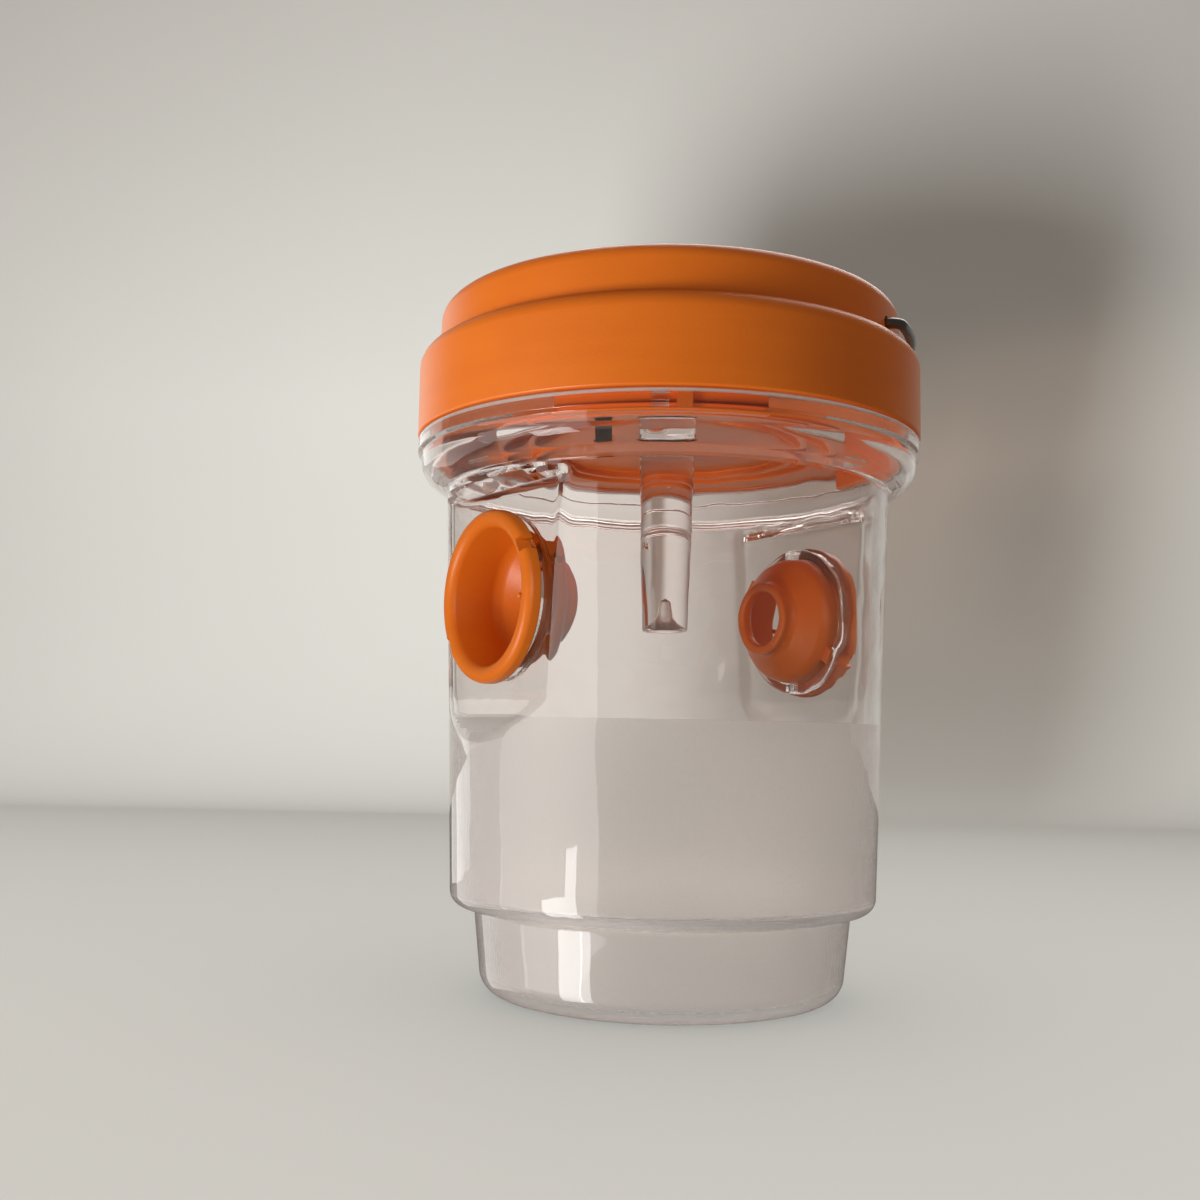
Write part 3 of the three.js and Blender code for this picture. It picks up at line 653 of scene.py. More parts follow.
# %% Funnels
SEAT = 0.3
BEAD_FACE = 3.3
BEAD_RADIUS = 16.0
BEAD_BORE = 12.9
BARREL_RADIUS = 13.2
BARREL_BORE = 11.5
BARREL_BACK = -6.6
CONE_BACK = -10.8
TUBE_RADIUS = 7.5
TUBE_BORE = 5.65
TUBE_BACK = -13.2
FUNNEL_SIDES = 144
LUG_ANGLES = (33, 213)
LUG_REACH = 14.9
LUG_DEPTH = 2.4
LUG_WIDTH = 3.6
LUG_HIGH = RING_BACK - 0.3
LUG_THICKNESS = 1.5
BEAD_NOTCH = (3.0, 2.8, 5.0)
NIBS = [(BEAD_RADIUS, 176, 1.2), (BEAD_RADIUS, 233, 1.4), (BEAD_BORE, -4, 2.9)]
NIB_RADIUS = 0.55

funnel_corners = [
    (TUBE_BORE, TUBE_BACK, 0.5), (TUBE_RADIUS, TUBE_BACK, 0.6), (TUBE_RADIUS, CONE_BACK, 2.0),
    (BARREL_RADIUS, BARREL_BACK, 3.2), (BARREL_RADIUS, SEAT, 0.3), (BEAD_RADIUS, SEAT, 0.4),
    (BEAD_RADIUS, BEAD_FACE, 1.45), (BEAD_BORE, BEAD_FACE, 1.8), (BARREL_BORE, BARREL_BACK, 3.4),
    (TUBE_BORE, CONE_BACK, 2.0),
]


def turned(bm, degrees):
    return placed(bm, Matrix.Rotation(math.radians(degrees), 4, "Z"))


def lug(angle):
    centre = (LUG_REACH - LUG_DEPTH / 2, 0, LUG_HIGH - LUG_THICKNESS / 2)
    return turned(block(centre, (LUG_DEPTH, LUG_WIDTH, LUG_THICKNESS), bevel=0.25), angle)


def bead_notch(angle):
    return turned(block((BEAD_RADIUS, 0, BEAD_FACE / 2), BEAD_NOTCH, upright=NOTCH_FILLET), angle)


def nib(radius, angle, height):
    bm = bmesh.new()
    bmesh.ops.create_icosphere(bm, subdivisions=3, radius=NIB_RADIUS * MM)
    bmesh.ops.translate(bm, vec=Vector((radius, 0, height)) * MM, verts=bm.verts)
    return turned(bm, angle)


def funnel():
    return combined(
        spin(outline(funnel_corners, closed=True), FUNNEL_SIDES),
        ("UNION", gathered([lug(angle) for angle in LUG_ANGLES])),
        ("DIFFERENCE", gathered([bead_notch(angle) for angle in LUG_ANGLES])),
        ("UNION", gathered([nib(*place) for place in NIBS])),
    )


for side, pad in PADS.items():
    node = "entry_funnel_" + side
    piece(side + "_funnel", placed(funnel(), pad), [ORANGE], "funnel_" + side, [node])

# %% [markdown]
# ## The lid
# The cap is a shell in two tiers: a wide skirt with a round shoulder, and a narrower drum that the bail
# folds round. A Boolean sinks the square recess for the solar panel into its top and drills the bail's two
# holes.

# %% Lid cap
LID_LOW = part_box("lid_cap")[0].z / MM
LID_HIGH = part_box("lid_cap")[1].z / MM
LID_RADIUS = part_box("lid_cap")[1].x / MM
LID_LEDGE = LID_LOW + 17.1
TIER_RADIUS = LID_RADIUS - 3.8
TIER_DRAFT = 0.35
LID_WALL = 2.2
LID_TOP = 3.6
LID_SIDES = 240
PANEL_SIDE = 54.0
PANEL_GAP = 0.3
PANEL_FILLET = 2.0
PANEL_LOW = LID_HIGH - 1.8
PANEL_TURN = -34.0
RECESS_HEIGHT = 4.0
BAIL_ANGLE = -65.0
BAIL_HEIGHT = LID_LEDGE + 2.3
BAIL_HOLE = 1.4
BAIL_HOLE_SIDES = 24
DRILL_IN = TIER_RADIUS - 4
DRILL_OUT = TIER_RADIUS + 1

lid_corners = [
    (0, LID_HIGH - LID_TOP), (TIER_RADIUS - LID_WALL - TIER_DRAFT, LID_HIGH - LID_TOP, 1.2),
    (TIER_RADIUS - LID_WALL, LID_LEDGE - LID_WALL, 1.0), (LID_RADIUS - LID_WALL, LID_LEDGE - LID_WALL, 1.2),
    (LID_RADIUS - LID_WALL, LID_LOW, 0.3), (LID_RADIUS, LID_LOW, 0.45), (LID_RADIUS, LID_LEDGE, 3.4),
    (TIER_RADIUS, LID_LEDGE, 0.5), (TIER_RADIUS - TIER_DRAFT, LID_HIGH, 3.0), (0, LID_HIGH),
]


def panel_recess():
    side = PANEL_SIDE + 2 * PANEL_GAP
    middle = PANEL_LOW - PANEL_GAP + RECESS_HEIGHT / 2
    fillet = PANEL_FILLET + PANEL_GAP
    return turned(block((0, 0, middle), (side, side, RECESS_HEIGHT), upright=fillet), PANEL_TURN)


def bail_hole(angle):
    corners = [(0, DRILL_IN), (BAIL_HOLE, DRILL_IN), (BAIL_HOLE, DRILL_OUT), (0, DRILL_OUT)]
    drill = placed(spin(outline(corners), BAIL_HOLE_SIDES), Matrix.Rotation(math.pi / 2, 4, "Y"))
    return placed(turned(drill, angle), Matrix.Translation((0, 0, BAIL_HEIGHT * MM)))


lid_solid = combined(
    spin(outline(lid_corners), LID_SIDES),
    ("DIFFERENCE", panel_recess()),
    ("DIFFERENCE", gathered([bail_hole(BAIL_ANGLE), bail_hole(BAIL_ANGLE + 180)])),
)
piece("lid_shell", lid_solid, [ORANGE], "lid", ["lid_cap"])

# %% [markdown]
# ## The lid's underside
# A plate closes the cap from below. Through the clear collar it shows its ribs, which catch thin rings of
# light, and the hooked bayonet tabs that turn under the jar's catches. The plate and its ribs are one spun
# outline; each tab is a hooked section swept through part of a turn.

# %% Lid plate
PLATE_LOW = LID_LOW + 0.2
PLATE_HIGH = PLATE_LOW + 2.0
PLATE_BORE = 6.0
PLATE_RADIUS = LID_RADIUS - LID_WALL - 0.4
PLATE_SIDES = 192
RIBS = (27.0, 33.0)
RIB_WIDTH = 1.4
RIB_DEPTH = 1.5
TAB_WIDTH = 46.0
TAB_STEPS = 36
TAB_FOOT = PLATE_LOW - 3.9
TAB_OUTER = 46.0
TAB_INNER = 44.5
HOOK_RADIUS = 47.2
HOOK_HIGH = TAB_FOOT + 1.2
STOP_SHIFT = 5.0
STOP_WIDTH = 3.2
STOP_RADIUS = HOOK_RADIUS - 0.05
SCREW_CIRCLE = TIER_RADIUS - LID_WALL - 5.0
SCREW_ANGLES = [PANEL_TURN + 90 * index for index in range(4)]
SCREW_SIDES = 32
WELL_RADIUS = 2.9
WELL_LOW = PLATE_LOW - 1
WELL_HIGH = PLATE_LOW + 1.7
SWITCH_PLACE = (-12.7, 1.5, PLATE_LOW + 1)
SWITCH_SLOT = (4.2, 7.8, 6)


def plate_outline():
    corners = [(PLATE_BORE, PLATE_HIGH), (PLATE_BORE, PLATE_LOW, 0.3)]
    foot = PLATE_LOW - RIB_DEPTH
    for radius in RIBS:
        inner, outer = radius - RIB_WIDTH / 2, radius + RIB_WIDTH / 2
        corners += [(inner, PLATE_LOW, 0.3), (inner, foot, 0.35)]
        corners += [(outer, foot, 0.35), (outer, PLATE_LOW, 0.3)]
    return corners + [(PLATE_RADIUS, PLATE_LOW, 0.3), (PLATE_RADIUS, PLATE_HIGH)]


def tab(middle):
    top = PLATE_LOW + OVERLAP
    corners = [
        (TAB_INNER, TAB_FOOT, 0.4), (HOOK_RADIUS, TAB_FOOT, 0.5), (HOOK_RADIUS, HOOK_HIGH, 0.3),
        (TAB_OUTER, HOOK_HIGH, 0.3), (TAB_OUTER, top), (TAB_INNER, top),
    ]
    return sector(corners, middle, TAB_WIDTH, TAB_STEPS)


def tab_stop(middle):
    low, top = HOOK_HIGH - OVERLAP, PLATE_LOW + OVERLAP
    inner = TAB_OUTER - OVERLAP
    corners = [(inner, low), (STOP_RADIUS, low), (STOP_RADIUS, top), (inner, top)]
    return sector(corners, middle + STOP_SHIFT, STOP_WIDTH, CATCH_STEPS)


def screw_well(angle):
    corners = [(0, WELL_LOW), (WELL_RADIUS, WELL_LOW), (WELL_RADIUS, WELL_HIGH), (0, WELL_HIGH)]
    well = placed(spin(outline(corners), SCREW_SIDES), Matrix.Translation((SCREW_CIRCLE * MM, 0, 0)))
    return turned(well, angle)


knob_slot = block(SWITCH_PLACE, SWITCH_SLOT, upright=NOTCH_FILLET)
plate_solid = combined(
    spin(outline(plate_outline(), closed=True), PLATE_SIDES),
    ("UNION", gathered([tab(middle) for middle in CATCH_MIDDLES])),
    ("UNION", gathered([tab_stop(middle) for middle in CATCH_MIDDLES])),
    ("DIFFERENCE", gathered([screw_well(angle) for angle in SCREW_ANGLES])),
    ("DIFFERENCE", turned(knob_slot, PANEL_TURN)),
)
piece("lid_underside", plate_solid, [ORANGE], "lid", ["lid_base"])

# %% [markdown]
# ## The light rod and its lamp
# The rod is a light guide: a clear taper that carries the lamp's light down and throws it sideways off a
# hollow cone in its tip. Its flange lies on the plate. A black sleeve keeps the lamp's light in the rod.

# %% Light rod
ROD_FLANGE_LOW = PLATE_HIGH + 0.3
ROD_FLANGE_HIGH = ROD_FLANGE_LOW + 1.5
FLANGE_RADIUS = 8.5
ROD_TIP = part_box("light_rod")[0].z / MM
ROD_TIP_RADIUS = 4.5
ROD_ROOT_RADIUS = 5.7
ROD_SIDES = 96
TIP_BORE = 3.6
TIP_DEPTH = 6.5
LAMP_LOW, LAMP_HIGH = (corner.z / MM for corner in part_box("lamp"))
LAMP_RADIUS = 2.5
SLEEVE_BORE = LAMP_RADIUS + 0.3
SLEEVE_RADIUS = SLEEVE_BORE + 0.8
POCKET_RADIUS = SLEEVE_RADIUS + 0.3
POCKET_FLOOR = LAMP_LOW - 0.3

rod_corners = [
    (0, ROD_TIP + TIP_DEPTH), (0.7, ROD_TIP + 5.9, 0.6), (1.0, ROD_TIP + 2.2, 3.0), (TIP_BORE, ROD_TIP, 0.2),
    (ROD_TIP_RADIUS, ROD_TIP, 0.5), (ROD_ROOT_RADIUS, ROD_FLANGE_LOW, 0.2),
    (FLANGE_RADIUS, ROD_FLANGE_LOW, 0.3), (FLANGE_RADIUS, ROD_FLANGE_HIGH, 0.3),
    (POCKET_RADIUS, ROD_FLANGE_HIGH, 0.2), (POCKET_RADIUS, POCKET_FLOOR, 0.4), (0, POCKET_FLOOR),
]
rod_skin = spin(outline(rod_corners), ROD_SIDES)
for face in rod_skin.faces:
    middle = face.calc_center_median() / MM
    in_tip = math.hypot(middle.x, middle.y) < TIP_BORE and middle.z < ROD_TIP + TIP_DEPTH
    face.material_index = 1 if in_tip else 0
piece("glow_rod", rod_skin, [CLEAR, FROSTED], "lid", ["light_rod"])

# %% [markdown]
# ## Small dark parts
# The lamp's sleeve and the switch knob are black moulded plastic, which is really a very dark grey with a
# satin grain. The lamp is a clear dome with a little violet in it, as lamps that draw insects have.

# %% Black plastic and lamp
BLACK_DEEP = (0.004, 0.004, 0.004, 1)
BLACK_WORN = (0.016, 0.015, 0.015, 1)
LENS_VIOLET = (0.84, 0.80, 0.90, 1)
LENS_PALE = (0.92, 0.89, 0.95, 1)
LAMP_SIDES = 40
LAMP_FLANGE = LAMP_RADIUS + 0.4
LAMP_FLANGE_LOW = LAMP_HIGH - 1.0
SLEEVE_HIGH = LAMP_HIGH - 1.3
SLEEVE_SIDES = 48


def black_plastic():
    finish = Finish("black_plastic")
    grain = finish.noise(2400, 2.0)
    return finish.plastic({
        "Base Color": finish.mix(grain, BLACK_DEEP, BLACK_WORN),
        "Roughness": 0.34 + grain * 0.2,
        "Normal": finish.bump(grain, 0.05 * MM, 0.5),
    })


def lamp_lens():
    finish = Finish("lamp_lens")
    cloud = finish.noise(500, 2.0)
    return finish.plastic({
        "Base Color": finish.mix(cloud, LENS_VIOLET, LENS_PALE),
        "Roughness": 0.08 + cloud * 0.05,
        "IOR": CLEAR_INDEX,
        "Transmission Weight": 0.35,
    })


BLACK = black_plastic()
LENS = lamp_lens()

lamp_corners = [
    (0, LAMP_LOW), (LAMP_RADIUS, LAMP_LOW, 2.4), (LAMP_RADIUS, LAMP_FLANGE_LOW, 0.1),
    (LAMP_FLANGE, LAMP_FLANGE_LOW, 0.1), (LAMP_FLANGE, LAMP_HIGH, 0.1), (0, LAMP_HIGH),
]
sleeve_corners = [
    (SLEEVE_BORE, LAMP_LOW, 0.15), (SLEEVE_RADIUS, LAMP_LOW, 0.15),
    (SLEEVE_RADIUS, SLEEVE_HIGH, 0.15), (SLEEVE_BORE, SLEEVE_HIGH, 0.15),
]
lamp_skin = spin(outline(lamp_corners), LAMP_SIDES)
piece("lamp_dome", lamp_skin, [LENS], "lid", ["lamp"])
sleeve_skin = spin(outline(sleeve_corners, closed=True), SLEEVE_SIDES)
piece("lamp_collar", sleeve_skin, [BLACK], "lid", ["lamp_sleeve"])

# %% [markdown]
# ## The switch knob
# A fingertip slides the knob, so its foot has ridges across the way it moves. The ridged side view is one
# face, pulled out to the knob's width and then bevelled all round.

# %% Switch knob
KNOB_PLACE = (-12.7, 0.0)
KNOB_WIDTH = 3.4
KNOB_LENGTH = 4.0
KNOB_FOOT = PLATE_LOW - 1.8
KNOB_TOP = PLATE_HIGH + 1.6
KNOB_BEVEL = 0.12
RIDGE_COUNT = 4
RIDGE_DEPTH = 0.35

ridge_pitch = KNOB_LENGTH / (2 * RIDGE_COUNT - 1)
ridged_foot = [
    (-KNOB_LENGTH / 2 + step * ridge_pitch, KNOB_FOOT + (RIDGE_DEPTH if ridge % 2 else 0))
    for ridge in range(2 * RIDGE_COUNT - 1) for step in (ridge, ridge + 1)
]
side_view = ridged_foot + [(KNOB_LENGTH / 2, KNOB_TOP), (-KNOB_LENGTH / 2, KNOB_TOP)]
knob = prism([(-KNOB_WIDTH / 2, y, z) for y, z in side_view], (KNOB_WIDTH, 0, 0))
bmesh.ops.bevel(
    knob, geom=knob.edges[:], offset=KNOB_BEVEL * MM, offset_type="OFFSET", affect="EDGES",
    segments=2, profile=0.5, material=-1, clamp_overlap=True,
)
bmesh.ops.translate(knob, vec=Vector((*KNOB_PLACE, 0)) * MM, verts=knob.verts)
piece("slide_knob", turned(knob, PANEL_TURN), [BLACK], "switch", ["switch_knob"])

# %% [markdown]
# ## Metal
# The bail is drawn steel wire, dull grey with fine lines along its length. Screws and battery contacts are
# nickel plated and brighter. Both are full metal; what sets them apart is how rough and how even they are.

# %% Metal finishes
WIRE_DARK = (0.16, 0.155, 0.15, 1)
WIRE_PALE = (0.36, 0.355, 0.34, 1)
NICKEL_DARK = (0.50, 0.51, 0.52, 1)
NICKEL_PALE = (0.66, 0.66, 0.65, 1)


def steel_wire():
    finish = Finish("steel_wire")
    drawn = finish.noise(900, 3.0, stretch=(0.25, 0.25, 4))
    cloud = finish.noise(160, 2.0)
    return finish.plastic({
        "Base Color": finish.mix(cloud, WIRE_DARK, WIRE_PALE),
        "Metallic": 1.0,
        "Roughness": 0.24 + drawn * 0.22,
        "Normal": finish.bump(drawn, 0.04 * MM, 0.5),
    })


def plated_steel():
    finish = Finish("plated_steel")
    cloud = finish.noise(700, 2.0)
    return finish.plastic({
        "Base Color": finish.mix(cloud, NICKEL_DARK, NICKEL_PALE),
        "Metallic": 1.0,
        "Roughness": 0.22 + cloud * 0.16,
    })


WIRE = steel_wire()
PLATED = plated_steel()
print("metal finishes:", WIRE.name, PLATED.name)

# %% [markdown]
# ## The bail
# One wire, bent as a wire bender would do it: straight out of the lid's hole, a tight bend, half a turn
# round the drum, and the same again at the other end. Each stretch pulls the last ring of points onward, by
# an extrusion where the wire is straight and by a spin where it bends.

# %% Bail
BAIL_RADIUS = TIER_RADIUS + 2.1
BAIL_WIRE = 1.0
BAIL_BEND = 2.4
BAIL_END = TIER_RADIUS - 3.2
WIRE_SIDES = 20
TIGHT_STEPS = 14
ROUND_STEPS = 96

bend_out = math.sqrt((BAIL_RADIUS - BAIL_BEND) ** 2 - BAIL_BEND ** 2)
bend_angle = math.atan2(BAIL_BEND, bend_out)


def last_ring(made):
    return [part for part in made if isinstance(part, bmesh.types.BMEdge)]


def run_on(bm, ring, way):
    made = bmesh.ops.extrude_edge_only(bm, edges=ring)["geom"]
    points = [part for part in made if isinstance(part, bmesh.types.BMVert)]
    bmesh.ops.translate(bm, vec=way, verts=points)
    return last_ring(made)


def bend(bm, ring, centre, angle, steps):
    points = list({vert for edge in ring for vert in edge.verts})
    made = bmesh.ops.spin(
        bm, geom=points + ring, cent=centre, axis=(0, 0, 1), angle=angle, steps=steps,
    )["geom_last"]
    return last_ring(made)


bail = bmesh.new()
bmesh.ops.create_circle(bail, cap_ends=False, radius=BAIL_WIRE * MM, segments=WIRE_SIDES)
placed(bail, Matrix.Translation((BAIL_END * MM, 0, 0)) @ Matrix.Rotation(math.pi / 2, 4, "Y"))
first_bend = Vector((bend_out, BAIL_BEND, 0)) * MM
second_bend = Vector((-bend_out, BAIL_BEND, 0)) * MM
straight = Vector((bend_out - BAIL_END, 0, 0)) * MM
ring = run_on(bail, bail.edges[:], straight)
ring = bend(bail, ring, first_bend, math.pi / 2 + bend_angle, TIGHT_STEPS)
ring = bend(bail, ring, Vector(), math.pi - 2 * bend_angle, ROUND_STEPS)
ring = bend(bail, ring, second_bend, math.pi / 2 + bend_angle, TIGHT_STEPS)
run_on(bail, ring, straight)
bmesh.ops.holes_fill(bail, edges=bail.edges, sides=WIRE_SIDES)
bmesh.ops.recalc_face_normals(bail, faces=bail.faces)
placed(turned(bail, BAIL_ANGLE), Matrix.Translation((0, 0, BAIL_HEIGHT * MM)))
piece("wire_bail", bail, [WIRE], "bail", ["bail"])

# %% [markdown]
# ## The solar panel
# The panel is a board of dark cells under clear resin. Its cells are a pattern, not pieces: strips with
# pale fingers across them, between bus lines, worked out from the panel's own coordinates.

# %% Solar panel
CELL_ROWS = 6
FINGER_COUNT = 34
PANEL_MARGIN = 3.0
PANEL_THICKNESS = 1.5
SILICON_DARK = (0.004, 0.007, 0.018, 1)
SILICON_BLUE = (0.012, 0.024, 0.075, 1)
FINGER_GREY = (0.10, 0.11, 0.13, 1)
BUS_GREY = (0.42, 0.42, 0.42, 1)
GAP_DARK = (0.006, 0.006, 0.008, 1)
MARGIN_DARK = (0.012, 0.012, 0.014, 1)


def solar_cells():
    finish = Finish("solar_cells")
    cells = finish.turned(angle=math.radians(-PANEL_TURN))
    x, y, _ = finish.axes(cells)
    reach = (PANEL_SIDE / 2 - PANEL_MARGIN) * MM

    def sized(value):
        return finish.node("ShaderNodeMath", {"operation": "ABSOLUTE"}, {0: value})

    def near_line(value, count, width):
        along = (value + reach) * (count / (2 * reach))
        repeat = finish.node("ShaderNodeMath", {"operation": "FRACT"}, {0: along})
        return sized(repeat - 0.5) > 0.5 - width / 2

    def off_edge(value):
        return sized(value) < reach

    on_cells = off_edge(x) * off_edge(y)
    row_gap = near_line(y, CELL_ROWS, 0.09)
    finger = near_line(x, FINGER_COUNT, 0.14) * 0.55
    bus = near_line(x, 2, 0.035)
    crystal = finish.noise(190, 1.0)
    silicon = finish.mix(crystal, SILICON_DARK, SILICON_BLUE)
    lined = finish.mix(finger, silicon, FINGER_GREY)
    bussed = finish.mix(bus, lined, BUS_GREY)
    gapped = finish.mix(row_gap, bussed, GAP_DARK)
    return finish.plastic({
        "Base Color": finish.mix(on_cells, MARGIN_DARK, gapped),
        "Roughness": 0.3 + crystal * 0.1,
        "Coat Weight": 1.0,
        "Coat Roughness": 0.04,
    })


panel_size = (PANEL_SIDE, PANEL_SIDE, PANEL_THICKNESS)
panel = block((0, 0, PANEL_LOW + PANEL_THICKNESS / 2), panel_size, bevel=0.3, upright=PANEL_FILLET)
piece("solar_face", turned(panel, PANEL_TURN), [solar_cells()], "lid", ["solar_panel"])

# %% [markdown]
# ## Screws in the plate
# Four screws hold the plate to the cap. Their heads are spun, and a cross is cut in for the driver.

# %% Screws
SCREW_HEAD = 2.6
SCREW_HEAD_HEIGHT = 1.5
SCREW_SHANK = 1.0
SCREW_LENGTH = 9.5
CROSS_REACH = 2.9
CROSS_WIDTH = 0.65
CROSS_DEPTH = 0.8
CROSS_TURN = 25


def screw(angle):
    point = SCREW_HEAD_HEIGHT + SCREW_LENGTH
    corners = [
        (0, 0), (SCREW_HEAD, 0, 0.5), (SCREW_HEAD, SCREW_HEAD_HEIGHT, 0.1),
        (SCREW_SHANK, SCREW_HEAD_HEIGHT, 0.2), (SCREW_SHANK, point - SCREW_SHANK, 0.2), (0, point),
    ]
    arm = (CROSS_REACH, CROSS_WIDTH, 2 * CROSS_DEPTH)
    body = combined(
        spin(outline(corners), SCREW_SIDES),
        ("DIFFERENCE", block((0, 0, 0), arm)),
        ("DIFFERENCE", turned(block((0, 0, 0), arm), 90)),
    )
    seat = Matrix.Translation(Vector((SCREW_CIRCLE, 0, PLATE_LOW)) * MM)
    return turned(placed(turned(body, CROSS_TURN), seat), angle)


for number, angle in enumerate(SCREW_ANGLES, start=1):
    name = f"plate_screw_{number}"
    piece(name, screw(angle), [PLATED], "lid", [f"base_screw_{number}"])

# %% [markdown]
# ## What stays inside
# The board, the switch housing, the cell and its contacts are shut in the lid. Their solids are good enough
# as they are, so they only get finishes: solder mask over fibre, and a bare shrink wrap.

# %% Finishes for the inner solids
MASK_DEEP = (0.008, 0.075, 0.026, 1)
MASK_PALE = (0.016, 0.13, 0.046, 1)
WRAP_DEEP = (0.018, 0.17, 0.055, 1)
WRAP_PALE = (0.03, 0.23, 0.08, 1)


def board_laminate():
    finish = Finish("board_laminate")
    weave = finish.noise(1300, 2.0, stretch=(1, 6, 1))
    cloud = finish.noise(120, 2.0)
    return finish.plastic({
        "Base Color": finish.mix(weave, MASK_DEEP, MASK_PALE),
        "Roughness": 0.32 + cloud * 0.15,
        "Normal": finish.bump(weave, 0.03 * MM, 0.4),
    })


def cell_wrap():
    finish = Finish("cell_wrap")
    cloud = finish.noise(140, 3.0)
    return finish.plastic({
        "Base Color": finish.mix(cloud, WRAP_DEEP, WRAP_PALE),
        "Roughness": 0.22 + cloud * 0.12,
        "Normal": finish.bump(cloud, 0.1 * MM, 0.3),
    })


INNER_FINISHES = {
    "circuit_board": board_laminate(),
    "battery": cell_wrap(),
    "switch_housing": BLACK,
    "battery_plus_contact": PLATED,
    "battery_minus_contact": PLATED,
    "board_screw_1": PLATED,
    "board_screw_2": PLATED,
}
for name, finish in INNER_FINISHES.items():
    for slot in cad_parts[name].material_slots:
        slot.material = finish
print("inner solids finished:", len(INNER_FINISHES))

# %% [markdown]
# ## Floor and wall
# A pale floor runs back into a pale wall. The window that the trap mirrors stands low, below the level of
# its foot, so the floor could not be left solid: it only shows itself. It is kept out of mirror images and
# lets the low window's light through.

# %% Floor and wall
BACKDROP_DARK = (0.55, 0.558, 0.537, 1)
BACKDROP_PALE = (0.58, 0.588, 0.567, 1)
SWEEP_FRONT = -1.6
SWEEP_BACK = 0.9
SWEEP_BEND = 0.35
SWEEP_TOP = 2.2
SWEEP_HALF_WIDTH = 2.1
BEND_SHARE = 0.98
BEND_STEPS = 24


def backdrop_finish():
    finish = Finish("backdrop")
    cloud = finish.noise(3.0, 2.0)
    return finish.plastic({
        "Base Color": finish.mix(cloud, BACKDROP_DARK, BACKDROP_PALE),
        "Roughness": 0.7 + cloud * 0.1,
    })


BACKDROP = backdrop_finish()


def stage_sheet(name, points, rounding=0.0):
    """A sheet as wide as the studio that follows (back, up) points, with its middle point rounded."""
    bm = bmesh.new()
    line = [bm.verts.new((-SWEEP_HALF_WIDTH, back, up)) for back, up in points]
    for start, end in zip(line, line[1:]):
        bm.edges.new((start, end))
    if rounding:
        bmesh.ops.bevel(
            bm, geom=[line[1]], offset=rounding, offset_type="OFFSET", affect="VERTICES",
            segments=BEND_STEPS, profile=0.5, material=-1,
        )
    pulled = bmesh.ops.extrude_edge_only(bm, edges=bm.edges[:])["geom"]
    far_points = [part for part in pulled if isinstance(part, bmesh.types.BMVert)]
    bmesh.ops.translate(bm, vec=(2 * SWEEP_HALF_WIDTH, 0, 0), verts=far_points)
    bmesh.ops.recalc_face_normals(bm, faces=bm.faces)
    mesh = bpy.data.meshes.new(name)
    placed(bm, facing).to_mesh(mesh)
    bm.free()
    mesh.materials.append(BACKDROP)
    mesh.shade_smooth()
    made = bpy.data.objects.new(name, mesh)
    bpy.context.scene.collection.objects.link(made)
    return made


bend_start = SWEEP_BACK - SWEEP_BEND
wall_line = [(bend_start, 0), (SWEEP_BACK, 0), (SWEEP_BACK, SWEEP_TOP)]
wall = stage_sheet("wall", wall_line, BEND_SHARE * SWEEP_BEND)
floor = stage_sheet("floor", [(SWEEP_FRONT, 0), (bend_start, 0)])
floor.visible_glossy = False
floor.visible_diffuse = False
floor.visible_shadow = False
print("studio:", wall.name, floor.name)

# %% [markdown]
# ## The lights
# Every light here is a soft rectangle of daylight. Blender can keep a light to some objects, or off them,
# and that is what makes a small studio out of one: each surface of the trap gets the light that shows it
# best. Most of them are aimed at the middle of the trap, from a place given as the trap sees it.

# %% Helpers for lights
DAYLIGHT = (1.0, 0.985, 0.96)
TRAP_MIDDLE = Vector((0, 0, 0.06))


def area_light(name, place, target, size, power):
    """A soft rectangle at a place, aimed at a target, both as (right, back, up) from the foot's middle."""
    lamp = bpy.data.lights.new(name, "AREA")
    lamp.shape = "RECTANGLE"
    lamp.size, lamp.size_y = size
    lamp.energy = power
    lamp.color = DAYLIGHT
    made = bpy.data.objects.new(name, lamp)
    aim = (target - place).to_track_quat("-Z", "Y").to_matrix().to_4x4()
    made.matrix_world = facing @ Matrix.Translation(place) @ aim
    bpy.context.scene.collection.objects.link(made)
    return made


def trap_light(name, azimuth, elevation, distance, size, power):
    """A soft rectangle aimed at the trap. An azimuth below zero is on the camera's left."""
    rise = Matrix.Rotation(math.radians(-elevation), 4, "X")
    turn = Matrix.Rotation(math.radians(azimuth), 4, "Z")
    place = turn @ rise @ Vector((0, -distance, 0)) + TRAP_MIDDLE
    return area_light(name, place, TRAP_MIDDLE, size, power)


def link_light(light, state, *objects):
    """Keeps a light to some objects (INCLUDE), or off them (EXCLUDE)."""
    linked = bpy.data.collections.new(light.name + "_objects")
    for each in objects:
        linked.objects.link(each)
    for entry in linked.collection_objects:
        entry.light_linking.link_state = state
    light.light_linking.receiver_collection = linked


jar, left_funnel, right_funnel, underside = (
    bpy.data.objects[name] for name in ("jar_shell", "left_funnel", "right_funnel", "lid_underside")
)
print("lights shine on", jar.name, left_funnel.name, right_funnel.name, underside.name)

# %% [markdown]
# ## The window
# Two panes stand low on the left and draw the bright streak down the jar. The jar takes only a share of
# their strength from a second pair in the same place: with all of it, its frosted part would glow white
# when it is seen from behind. The left funnel is kept out of the narrow pane, which would bleach its bead.

